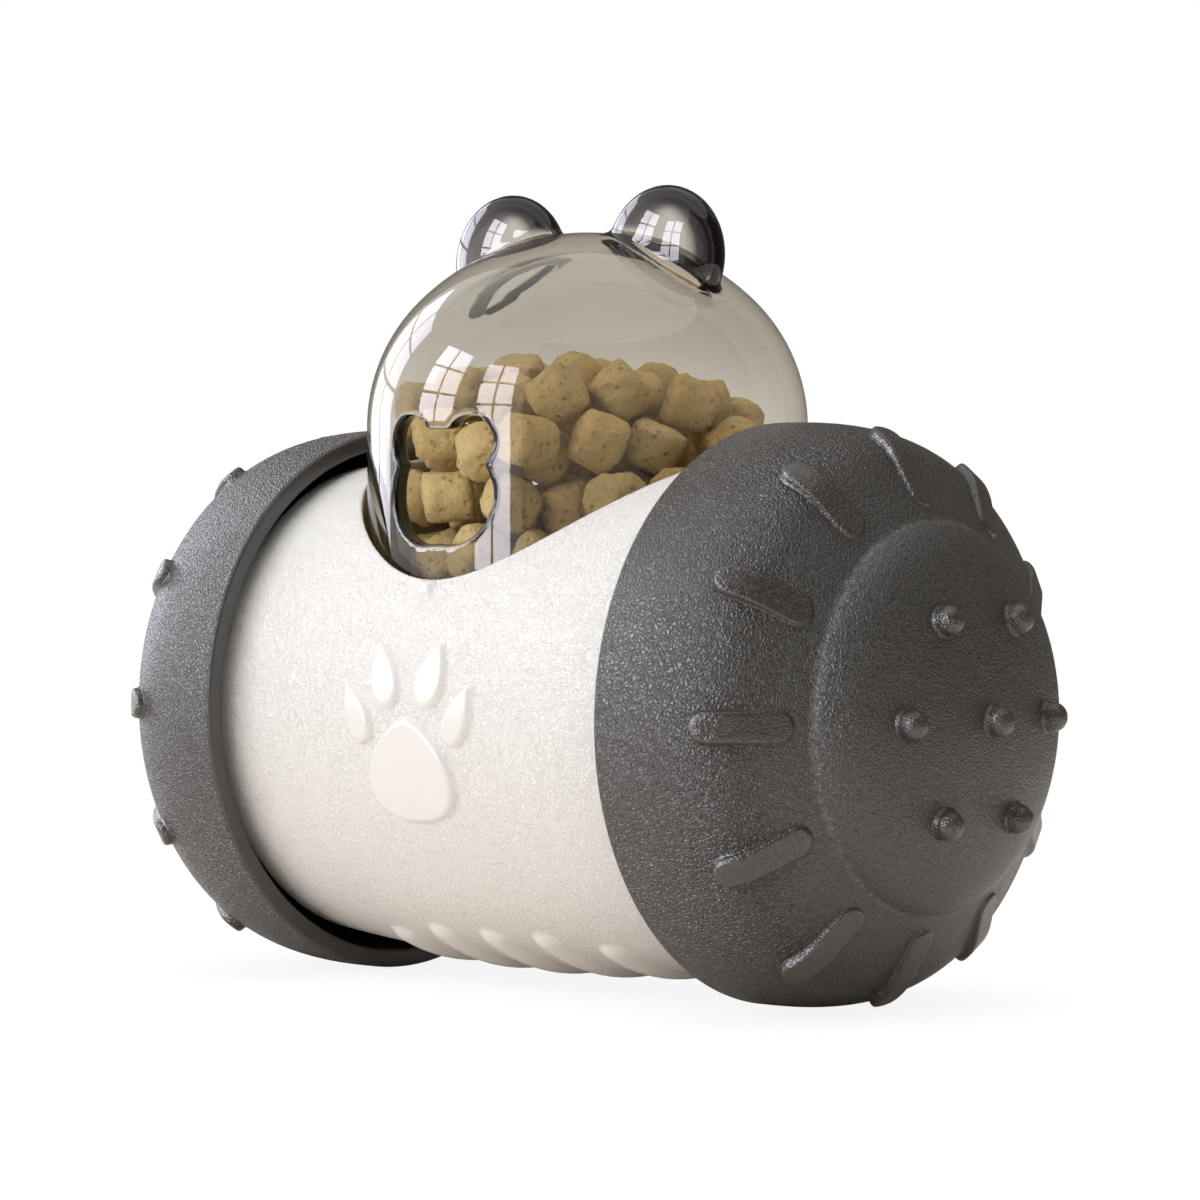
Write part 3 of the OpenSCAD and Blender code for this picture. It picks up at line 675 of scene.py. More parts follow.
class CopyTree:
    """Geometry Nodes tree that sets copies of shapes on points, each turned to two directions of its own."""

    mark_kinds = {"facing": "FLOAT_VECTOR", "along": "FLOAT_VECTOR", "size": "FLOAT", "shape": "INT"}

    def __init__(self) -> None:
        """Builds the tree, with named inputs for the shapes, the finish and the spread of turns."""
        tree = bpy.data.node_groups.new("set_copies", "GeometryNodeTree")
        tree.is_modifier = True
        self.tree = tree
        self.sockets: dict[str, str] = {}
        wanted = {
            "Points": "NodeSocketGeometry",
            "Shapes": "NodeSocketCollection",
            "Finish": "NodeSocketMaterial",
            "Turn": "NodeSocketFloat",
            "Seed": "NodeSocketInt",
        }
        for title, kind in wanted.items():
            socket = tree.interface.new_socket(title, in_out="INPUT", socket_type=kind)
            self.sockets[title] = socket.identifier
        tree.interface.new_socket("Copies", in_out="OUTPUT", socket_type="NodeSocketGeometry")
        kit = NodeKit(tree)
        given = kit.add("NodeGroupInput").outputs
        marks = {}
        for title, kind in self.mark_kinds.items():
            reader = kit.add("GeometryNodeInputNamedAttribute", {"Name": title}, data_type=kind)
            marks[title] = reader.outputs["Attribute"]
        upright = kit.add("FunctionNodeAlignRotationToVector", {"Vector": marks["facing"]}, axis="Z")
        lean = kit.add(
            "FunctionNodeAlignRotationToVector",
            {"Rotation": upright.outputs[0], "Vector": marks["along"]},
            axis="X",
            pivot_axis="Z",
        )
        spin = kit.add("FunctionNodeRandomValue", {"Seed": given["Seed"]}, data_type="FLOAT")
        about = kit.add("ShaderNodeCombineXYZ", {"Z": kit.times(spin.outputs[1], given["Turn"])})
        extra = kit.add("FunctionNodeEulerToRotation", {0: about.outputs[0]})
        whole = kit.add(
            "FunctionNodeRotateRotation", {0: lean.outputs[0], 1: extra.outputs[0]}, rotation_space="LOCAL"
        )
        shapes = kit.add(
            "GeometryNodeCollectionInfo",
            {"Collection": given["Shapes"], "Separate Children": True, "Reset Children": True},
        )
        copies = kit.add(
            "GeometryNodeInstanceOnPoints",
            {
                "Points": given["Points"],
                "Instance": shapes.outputs[0],
                "Pick Instance": True,
                "Instance Index": marks["shape"],
                "Rotation": whole.outputs[0],
                "Scale": marks["size"],
            },
        )
        real = kit.add("GeometryNodeRealizeInstances", {"Geometry": copies.outputs[0]})
        dressed = kit.add(
            "GeometryNodeSetMaterial", {"Geometry": real.outputs[0], "Material": given["Finish"]}
        )
        kit.add("NodeGroupOutput", {0: dressed.outputs[0]})

    def run(
        self,
        name: str,
        points: np.ndarray,
        marks: dict[str, np.ndarray],
        shapes: list[bpy.types.Object],
        finish: bpy.types.Material,
        turn: float,
        seed: int,
    ) -> bpy.types.Object:
        """Sets the copies and turns the result into a plain mesh.

        Args:
            name: Name of the piece.
            points: Places in millimetres.
            marks: Values for each place: facing, along, size and shape, and any that the finish reads.
            shapes: Shapes to copy, removed afterwards.
            finish: Material of the copies.
            turn: Largest turn about the facing direction, in radians.
            seed: Seed of the turns.

        Returns:
            The new object, at the origin.
        """
        holder = bpy.data.collections.new(name + "_shapes")
        bpy.context.scene.collection.children.link(holder)
        for item in shapes:
            bpy.context.scene.collection.objects.unlink(item)
            holder.objects.link(item)
        mesh = bpy.data.meshes.new(name)
        mesh.from_pydata((points * MM).tolist(), [], [])
        for title, values in marks.items():
            kind = self.mark_kinds.get(title, "FLOAT")
            layer = mesh.attributes.new(title, kind, "POINT")
            layer.data.foreach_set("vector" if kind == "FLOAT_VECTOR" else "value", values.ravel())
        carrier = link_object(name, mesh)
        modifier = carrier.modifiers.new("copies", "NODES")
        modifier.node_group = self.tree
        given = {"Shapes": holder, "Finish": finish, "Turn": turn, "Seed": seed}
        for title, value in given.items():
            modifier[self.sockets[title]] = value
        graph = bpy.context.evaluated_depsgraph_get()
        made = bpy.data.meshes.new_from_object(
            carrier.evaluated_get(graph), preserve_all_data_layers=True, depsgraph=graph
        )
        carrier.modifiers.clear()
        carrier.data = made
        made.shade_smooth()
        for item in list(holder.objects):
            bpy.data.objects.remove(item)
        bpy.data.collections.remove(holder)
        return carrier


@dataclass
class BellWheel:
    """One dark bell wheel: a turned shell with long bars round its shoulder and nubs on its hub cap."""

    side: Side
    rim_x: float = 38.2
    radius: float = 42.0
    wall: float = 2.8
    rim_band: float = 3.0
    rim_round: float = 0.5
    round_steps: int = 5
    band_steps: int = 6
    shoulder_len: float = 18.6
    shoulder_drop: float = 6.1
    shoulder_pull: float = 0.68
    shoulder_steps: int = 56
    cone_len: float = 5.5
    cone_drop: float = 8.2
    cone_pull: float = 0.39
    cone_steps: int = 28
    crease_reach: float = 0.4
    crease_steps: int = 6
    # Width of the edge mark that carries the painted highlight along the hub cap's crease.
    edge_width: float = 0.55
    face_calm: float = 0.62
    calm_reach: float = 2.5
    hub_len: float = 10.2
    hub_side: float = 0.94
    hub_rise: float = 0.6
    hub_flat: float = 0.35
    hub_steps: int = 44
    columns: int = 168
    core_radius: float = 24.35
    core_step: float = 2.5
    core_seat: float = 28.1
    core_depth: float = 3.0
    bar_count: int = 12
    bar_width: float = 4.6
    bar_length: float = 14.2
    bar_height: float = 1.3
    bar_low: float = 0.36
    bar_lean: float = 43.85
    bar_end_points: int = 15
    bar_side_points: int = 18
    bar_section: tuple[tuple[float, float], ...] = (
        (-0.4, -0.4), (-0.2, 0.02), (-0.06, 0.1), (0.0, 0.26), (0.05, 0.5),
        (0.16, 0.74), (0.34, 0.92), (0.58, 0.99), (0.9, 1.0), (1.5, 1.0),
    )
    nub_ring: float = 16.0
    nub_count: int = 6
    nub_width: float = 4.6
    nub_height: float = 3.0
    nub_low: float = 0.9
    nub_columns: int = 24

    @property
    def crease(self) -> np.ndarray:
        """Where the cone meets the hub cap, as radius and distance from the rim."""
        along = self.rim_band + self.shoulder_len + self.cone_len
        return np.array([self.radius - self.shoulder_drop - self.cone_drop, along])

    @property
    def cone_top(self) -> np.ndarray:
        """Where the shoulder meets the cone, as radius and distance from the rim."""
        return np.array([self.radius - self.shoulder_drop, self.rim_band + self.shoulder_len])

    def shoulder_curve(self, steps: int) -> np.ndarray:
        """Samples the rounded shoulder.

        Args:
            steps: Number of spans.

        Returns:
            Points as radius and distance from the rim.
        """
        cone = self.crease - self.cone_top
        control = np.array(
            [
                [self.radius, self.rim_band],
                [self.radius, self.rim_band + self.shoulder_pull * self.shoulder_len],
                self.cone_top - self.cone_pull * cone,
                self.cone_top,
            ]
        )
        return cubic(control, steps)

    def cone_line(self, steps: int) -> np.ndarray:
        """Points of the cone from just after the shoulder to the crease."""
        return self.cone_top + np.linspace(0.0, 1.0, steps + 1)[1:, None] * (self.crease - self.cone_top)

    def hub_curve(self, steps: int) -> np.ndarray:
        """Samples the domed hub cap from the crease to its middle.

        Args:
            steps: Number of spans.

        Returns:
            Points as radius and distance from the rim.
        """
        foot_r, foot_u = self.crease
        top = foot_u + self.hub_len
        control = np.array(
            [
                [foot_r, foot_u],
                [self.hub_side * foot_r, foot_u + self.hub_rise * self.hub_len],
                [self.hub_flat * foot_r, top],
                [0.0, top],
            ]
        )
        return cubic(control, steps)

    def outer_profile(self) -> np.ndarray:
        """Gives the outer line from the rim to the middle of the hub cap.

        Returns:
            Points as radius and distance from the rim.
        """
        edge = self.rim_round
        turn = np.radians(np.linspace(0.0, 90.0, self.round_steps))
        face_in = self.radius - self.wall
        inner_round = np.stack([face_in + edge - edge * np.cos(turn), edge - edge * np.sin(turn)], axis=1)
        outer_round = np.stack([self.radius - edge + edge * np.sin(turn), edge - edge * np.cos(turn)], axis=1)
        rise = np.linspace(edge, self.rim_band, self.band_steps + 1)[1:]
        band = np.stack([np.full(self.band_steps, self.radius), rise], axis=1)
        shoulder = self.shoulder_curve(self.shoulder_steps)[1:]
        rising = np.concatenate([inner_round, outer_round, band, shoulder, self.cone_line(self.cone_steps)])
        return soften_corner(rising, self.hub_curve(self.hub_steps), self.crease_reach, self.crease_steps)

    def inner_profile(self) -> np.ndarray:
        """Gives the inner line from the middle of the hub cap back to the rim.

        Returns:
            Points as radius and distance from the rim.
        """
        top = self.crease[1] + self.hub_len - self.wall
        step = self.core_radius - self.core_step
        seat = self.core_seat
        cap = np.array([[0.0, top], [0.45 * step, top - 1.0], [0.8 * step, top - 3.6], [step, seat]])
        ledge = np.array([[self.core_radius, seat], [self.core_radius, seat - self.core_depth]])
        shoulder = self.shoulder_curve(8)[::-1]
        slope = np.gradient(shoulder, axis=0)
        normal = np.stack([slope[:, 1], -slope[:, 0]], axis=1) / np.linalg.norm(slope, axis=1)[:, None]
        return np.concatenate([cap, ledge, shoulder + self.wall * normal])

    def place(self, radius: np.ndarray, along: np.ndarray, angle: np.ndarray) -> np.ndarray:
        """Turns wheel places into points of the frame.

        Args:
            radius: Distance from the axle.
            along: Distance from the rim.
            angle: Angle round the axle, from the rear.

        Returns:
            Points in millimetres.
        """
        radius, along, angle = np.broadcast_arrays(radius, along, angle)
        x = self.side.value * (self.rim_x + along)
        return np.stack([x, radius * np.cos(angle), AXLE_Z + radius * np.sin(angle)], axis=-1)

    def shell(self) -> bpy.types.Object:
        """Builds the bare shell.

        Returns:
            The new object.
        """
        inner = self.inner_profile()
        line = np.concatenate([inner, self.outer_profile()])
        angle = even_turns(self.columns)
        draft = MeshDraft()
        draft.quads(draft.add(self.place(line[:, 0:1], line[:, 1:2], angle)), wrap=True)
        start = self.cone_top[1] - self.calm_reach
        calm = self.face_calm * smooth_step(start, start + 2 * self.calm_reach, line[:, 1])
        calm[: len(inner) + 2 * self.round_steps - 1] = 1.0
        # The edge mark: where the finish paints a highlight along the hub cap's crease.
        edge = np.exp(-((np.linalg.norm(line - self.crease, axis=1) / self.edge_width) ** 2))
        edge[: len(inner)] = 0.0
        marks = {"plain": np.repeat(calm, self.columns), "edge": np.repeat(edge, self.columns)}
        return draft.build(f"{self.side.word}_bell", marks)

    def facing(self, lean: float, angle: np.ndarray) -> dict[str, np.ndarray]:
        """Gives the directions of copies on the shell: out of it, and along it towards the rim.

        Args:
            lean: Angle of the surface from square to the axle, in radians.
            angle: Angles of the copies round the axle.

        Returns:
            The directions, named for the copy tree.
        """
        sign = self.side.value
        flat = np.ones(len(angle))
        out = [sign * math.cos(lean) * flat, math.sin(lean) * np.cos(angle), math.sin(lean) * np.sin(angle)]
        run = [-sign * math.sin(lean) * flat, math.cos(lean) * np.cos(angle), math.cos(lean) * np.sin(angle)]
        return {"facing": np.stack(out, 1).astype(np.float32), "along": np.stack(run, 1).astype(np.float32)}

    def bar_shape(self) -> bpy.types.Object:
        """Shapes one bar: a flat pad with round ends that follows the shell, proud at its rim end.

        Returns:
            The shape in metres, with X towards the rim and Z out of the shell.
        """
        lean = math.radians(self.bar_lean)
        line = np.concatenate([self.shoulder_curve(160), self.cone_line(59)])[::-1] - self.cone_top
        run = line[:, 0] * math.cos(lean) - line[:, 1] * math.sin(lean)
        out = line[:, 0] * math.sin(lean) + line[:, 1] * math.cos(lean)
        tilt = np.gradient(out, run)
        half = self.bar_width / 2
        straight = self.bar_length / 2 - half
        turn = np.radians(np.linspace(-90.0, 90.0, self.bar_end_points))
        side = np.linspace(straight, -straight, self.bar_side_points)[1:-1]
        ends = np.full(self.bar_end_points, straight)
        middle = np.concatenate([ends, side, -ends, side[::-1]])
        away = np.concatenate([np.cos(turn), 0 * side, -np.cos(turn), 0 * side])
        across = np.concatenate([np.sin(turn), 1 + 0 * side, -np.sin(turn), 0 * side - 1])
        rings = []
        for inset, share in (*self.bar_section, (half, 1.0)):
            x = middle + (half - inset) * away
            rising = smooth_step(-self.bar_length / 2, self.bar_length / 2, x)
            proud = self.bar_low + (1 - self.bar_low) * rising
            lift = share * self.bar_height * (proud if share > 0 else 1.0)
            slope = np.interp(x, run, tilt)
            size = np.hypot(1.0, slope)
            level = np.interp(x, run, out) + lift / size
            rings.append(np.stack([x - lift * slope / size, (half - inset) * across, level], 1))
        draft = MeshDraft()
        draft.tube(np.stack(rings))
        return draft.build("bar")

    def set_raised(
        self,
        title: str,
        shape: bpy.types.Object,
        points: np.ndarray,
        marks: dict[str, np.ndarray],
        copies: CopyTree,
        finish: bpy.types.Material,
    ) -> bpy.types.Object:
        """Sets copies of one raised shape on the shell, as they face.

        Args:
            title: What the copies are.
            shape: The shape.
            points: Places of the copies.
            marks: Directions of the copies.
            copies: Tree that sets the copies.
            finish: Material of the copies.

        Returns:
            The new object.
        """
        marks["size"] = np.ones(len(points), np.float32)
        marks["shape"] = np.zeros(len(points), np.int32)
        return copies.run(f"{self.side.word}_{title}", points, marks, [shape], finish, turn=0.0, seed=1)

    def bars(self, copies: CopyTree, finish: bpy.types.Material) -> bpy.types.Object:
        """Sets the bars round the shoulder.

        Args:
            copies: Tree that sets the copies.
            finish: Material of the bars.

        Returns:
            The new object.
        """
        angle = even_turns(self.bar_count)
        points = self.place(*self.cone_top, angle)
        marks = self.facing(math.radians(self.bar_lean), angle)
        return self.set_raised("bars", self.bar_shape(), points, marks, copies, finish)

    def nub_shape(self) -> bpy.types.Object:
        """Turns one nub: a flared foot, a short straight side and a blunt round tip.

        Returns:
            The shape, facing +Z, in metres.
        """
        half = self.nub_width / 2
        flare = np.array([[half + 0.3, -0.6], [half + 0.14, 0.0], [half - 0.04, 0.2], [half - 0.1, 0.5]])
        turn = np.linspace(0.0, 1.0, 9) * math.pi / 2
        blunt = (half - 0.15) * np.cos(turn) ** 0.9
        rise = self.nub_low + (self.nub_height - self.nub_low) * np.sin(turn)
        line = np.concatenate([flare, np.stack([blunt, rise], axis=1)])
        angle = even_turns(self.nub_columns)
        ring = [np.cos(angle), np.sin(angle), np.zeros(self.nub_columns)]
        lift = np.array([0.0, 0.0, 1.0])
        draft = MeshDraft()
        draft.tube(line[:, 0, None, None] * np.stack(ring, axis=1) + line[:, 1, None, None] * lift)
        return draft.build("nub")

    def nubs(self, copies: CopyTree, finish: bpy.types.Material) -> bpy.types.Object:
        """Sets the nubs on the hub cap.

        Args:
            copies: Tree that sets the copies.
            finish: Material of the nubs.

        Returns:
            The new object.
        """
        line = self.hub_curve(400)
        at = int(np.argmin(np.abs(line[:, 0] - self.nub_ring)))
        slope = line[at + 1] - line[at - 1]
        lean = math.atan2(slope[1], -slope[0])
        angle = even_turns(self.nub_count)
        ring = self.place(*line[at], angle)
        middle = self.place(*line[-1], np.zeros(1))
        centre = self.facing(0.0, np.zeros(1))
        around = self.facing(lean, angle)
        marks = {title: np.concatenate([centre[title], around[title]]) for title in around}
        points = np.concatenate([middle, ring])
        return self.set_raised("nubs", self.nub_shape(), points, marks, copies, finish)

    def build(
        self, copies: CopyTree, finish: bpy.types.Material, highlit: bpy.types.Material
    ) -> list[bpy.types.Object]:
        """Builds, dresses and seats the wheel.

        Args:
            copies: Tree that sets the bars and nubs.
            finish: Material of the shell.
            highlit: Material of the bars and nubs.

        Returns:
            The new pieces.
        """
        body = Body[f"{self.side.name}_WHEEL"].value
        shell = self.shell()
        shell.data.materials.append(finish)
        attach(shell, body)
        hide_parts(f"{self.side.word}_wheel_shell")
        # The bars and nubs take a lighter copy of the charcoal: painted highlight.
        raised = [self.bars(copies, highlit), self.nubs(copies, highlit)]
        for piece in raised:
            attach(piece, body)
        return [shell, *raised]


@dataclass
class Barrel:
    """The white barrel: a bulged tube with a round opening, a paw print, an index mark and belly ribs."""

    end_x: float = 43.0
    end_bevel: float = 0.8
    middle_radius: float = 39.1
    bulge_radius: float = 348.5
    bore_radius: float = 34.5
    opening_radius: float = 33.8
    lip_round: float = 0.45
    relief: float = 1.0
    relief_edge: float = 0.95
    paw_half: float = 14.0
    paw_low: float = -18.0
    paw_high: float = 21.0
    mark_size: float = 2.2
    mark_rise: float = 17.96
    rib_count: int = 5
    rib_pitch: float = 10.45
    rib_width: float = 5.6
    rib_height: float = 1.2
    rib_stop: float = 55.0
    rib_outer_drop: float = 4.5
    front_limit: float = 0.3
    relief_polish: tuple[float, float] = (-0.25, 0.15)
    rib_polish: tuple[float, float] = (0.2, -0.3)
    bore_skip: int = 6

    def radius_at(self, x: np.ndarray) -> np.ndarray:
        """Radius of the barrel at a place along the axle."""
        return self.middle_radius - self.bulge_radius + np.sqrt(self.bulge_radius**2 - x * x)

    @staticmethod
    def leaf(length: float, width: float, foot: float, tip: float) -> np.ndarray:
        """Draws a leaf from a round foot to a tip.

        Args:
            length: Its length.
            width: Its greatest width.
            foot: How blunt the foot is.
            tip: How blunt the tip is.

        Returns:
            Corners of the outline.
        """
        share = (1 - np.cos(np.linspace(0.0, math.pi, 41))) / 2
        peak = foot / (foot + tip)
        top = peak**foot * (1 - peak) ** tip
        half = width / 2 * share**foot * (1 - share) ** tip / top
        right = np.stack([half, length * share], axis=1)
        return np.concatenate([right, (right * [-1.0, 1.0])[-2:0:-1]])

    def reliefs(self) -> list[np.ndarray]:
        """Draws the paw print and the index mark, as place along the axle and rise above it.

        Returns:
            One outline for each raised field.
        """

        def turned(outline: np.ndarray, lean: float, foot: tuple[float, float]) -> np.ndarray:
            """Leans an outline and sets its foot.

            Args:
                outline: Corners of the outline.
                lean: Angle to the right, in degrees.
                foot: Place of the foot.

            Returns:
                Corners of the moved outline.
            """
            turn = math.radians(lean)
            matrix = np.array([[math.cos(turn), -math.sin(turn)], [math.sin(turn), math.cos(turn)]])
            return outline @ matrix + np.array(foot)

        pad = self.leaf(length=15.2, width=16.6, foot=0.42, tip=0.7)
        inner_toe = self.leaf(length=9.8, width=5.4, foot=0.5, tip=0.8)
        outer_toe = self.leaf(length=9.8, width=4.8, foot=0.5, tip=0.9)
        fields = [turned(pad, lean=0.0, foot=(0.0, -15.5))]
        for hand in (-1.0, 1.0):
            fields.append(turned(inner_toe, lean=hand * 17.0, foot=(hand * 3.3, 0.9)))
            fields.append(turned(outer_toe, lean=hand * 25.0, foot=(hand * 8.2, -4.2)))
        half = self.mark_size / 2
        square = np.array([[-half, -half], [half, -half], [half, half], [-half, half]])
        fields.append(square + np.array([0.0, self.mark_rise]))
        return fields

    def relief_lift(self, x: np.ndarray, turn: np.ndarray) -> tuple[np.ndarray, np.ndarray]:
        """Gives the height of the raised fields and ribs.

        Args:
            x: Place along the axle.
            turn: Angle from the top, positive towards the front.

        Returns:
            Height, and a mark that is 1 where the surface is polished.
        """
        radius = self.radius_at(x)
        rise = radius * np.cos(turn)
        lift = np.zeros(x.shape)
        polish = np.zeros(x.shape)
        front = np.sin(turn) > self.front_limit
        near = front & (np.abs(x) < self.paw_half) & (rise > self.paw_low) & (rise < self.paw_high)
        spots = np.stack([x[near], rise[near]], axis=1)
        raised = np.zeros(len(spots))
        shine = np.zeros(len(spots))
        for outline in self.reliefs():
            inset = outline_inset(spots, outline)
            raised = np.maximum(raised, self.relief * soft_edge(inset, self.relief_edge))
            shine = np.maximum(shine, smooth_step(*self.relief_polish, inset))
        lift[near] = raised
        polish[near] = shine
        below = np.degrees(np.abs(np.pi - turn))
        tube = (self.rib_width**2 / 4 + self.rib_height**2) / (2 * self.rib_height)
        rib_edge = [self.rib_width / 2 + step for step in self.rib_polish]
        for i in range(self.rib_count):
            place = i - (self.rib_count - 1) / 2
            outermost = abs(place) == (self.rib_count - 1) / 2
            stop = self.rib_stop + (self.rib_outer_drop if outermost else 0.0)
            middle = place * self.rib_pitch
            reach = 90.0 - stop - np.degrees(self.rib_width / 2 / self.radius_at(np.array(middle)))
            past = np.radians(np.maximum(below - reach, 0.0)) * radius
            away = np.hypot(x - middle, past)
            crown = np.sqrt(np.maximum(tube**2 - away**2, 0.0)) - (tube - self.rib_height)
            lift = np.maximum(lift, crown)
            polish = np.maximum(polish, smooth_step(*rib_edge, away))
        return lift, polish

    def stations(self) -> np.ndarray:
        """Spreads places along the axle: fine over the paw print and ribs, and at the ends of the opening.

        Returns:
            Places from the left end to the right end.
        """
        fine = np.arange(0.0, 11.6, 0.24)
        ribs = np.arange(11.9, 24.6, 0.4)
        plain = np.arange(25.2, 32.4, 0.9)
        lip = self.opening_radius + self.lip_round * np.linspace(0.0, 1.0, 4)
        run_in = self.opening_radius * np.linspace(0.955, 0.9999, 5)
        rest = np.array([35.2, 36.6, 38.2, 40.0, 41.8, 42.2, 42.6, 42.85, self.end_x])
        half = np.unique(np.concatenate([fine, ribs, plain, run_in, lip, rest]))
        return np.concatenate([-half[:0:-1], half])

    def rows(self) -> tuple[np.ndarray, np.ndarray]:
        """Spreads rows round the barrel: fine over the paw print and the ends of the ribs.

        Returns:
            Share of the way from the front lip, at 0, to the rear lip, at 1, and which rows the bore has too.
        """
        bands = [(60.0, 74.0, 18), (74.0, 116.0, 116), (116.0, 140.0, 22), (140.0, 160.0, 40)]
        bands += [(160.0, 200.0, 14), (200.0, 220.0, 40), (220.0, 300.0, 40)]
        first, last = bands[0][0], bands[-1][1]
        angles = [np.linspace(start, end, count, endpoint=False) for start, end, count in bands]
        share = (np.concatenate([*angles, [last]]) - first) / (last - first)
        kept = np.arange(0, len(share), self.bore_skip)
        return share, np.unique(np.append(kept, len(share) - 1))

    def lip_turn(self, x: np.ndarray, radius: np.ndarray, reach: float) -> np.ndarray:
        """Gives the angle from the top at which the opening's lip lies, 0 where there is no opening."""
        across = np.sqrt(np.maximum(reach**2 - x * x, 0.0))
        return np.arcsin(np.clip(across / radius, 0.0, 1.0))

    def shell(self) -> bpy.types.Object:
        """Builds the barrel as one closed wall.

        Returns:
            The new object.
        """
        x = self.stations()
        share, kept = self.rows()
        lip_steps = self.lip_round * (1 - np.cos(np.radians([0.0, 30.0, 60.0])))
        radius = self.radius_at(x)
        bevel = np.clip(np.abs(x) - (self.end_x - self.end_bevel), 0.0, None)
        radius = radius - bevel**2 / self.end_bevel
        edge = self.lip_turn(x, radius, self.opening_radius + self.lip_round)
        turn = edge + share[:, None] * (FULL_TURN - 2 * edge)
        lips = [self.lip_turn(x, radius, self.opening_radius + step) for step in lip_steps]
        turn = np.concatenate([np.array(lips), turn, FULL_TURN - np.array(lips[::-1])])
        spread = np.broadcast_to(x, turn.shape)
        lift, polish = self.relief_lift(spread, turn)
        whole = radius + lift
        y = -whole * np.sin(turn)
        z = whole * np.cos(turn)
        off_axis = np.hypot(spread, y)
        inside = np.clip((self.opening_radius + self.lip_round - off_axis) / self.lip_round, 0.0, 1.0)
        z = z - np.where(z > 0.0, self.lip_round * (1 - np.sqrt(1 - inside**2)), 0.0)
        draft = MeshDraft()
        outer = draft.add(np.stack([spread, y, z + AXLE_Z], axis=-1))
        bore = np.full(x.shape, self.bore_radius)
        low_edge = self.lip_turn(x, bore, self.opening_radius)
        rows = np.concatenate([[0], kept + len(lips), [len(turn) - 1]])
        low_turn = low_edge + np.linspace(0.0, 1.0, len(rows))[:, None] * (FULL_TURN - 2 * low_edge)
        low = np.stack(
            [
                np.broadcast_to(x, low_turn.shape),
                -self.bore_radius * np.sin(low_turn),
                self.bore_radius * np.cos(low_turn) + AXLE_Z,
            ],
            axis=-1,
        )
        inner = draft.add(low)
        draft.quads(outer)
        draft.quads(inner)
        for row in (0, -1):
            draft.quads(np.stack([outer[row], inner[row]]))
        for column in (0, -1):
            for i in range(len(rows) - 1):
                run = outer[rows[i] : rows[i + 1] + 1, column].tolist()
                draft.faces.append((*run, int(inner[i + 1, column]), int(inner[i, column])))
        marks = np.concatenate([polish.ravel(), np.zeros(inner.size)])
        return draft.build("barrel_shell", {"polished": marks})

    def build(self, finish: bpy.types.Material) -> list[bpy.types.Object]:
        """Builds, dresses and seats the barrel.

        Args:
            finish: Material of the barrel.

        Returns:
            The new pieces.
        """
        shell = self.shell()
        shell.data.materials.append(finish)
        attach(shell, Body.BARREL.value)
        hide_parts("barrel")
        return [shell]


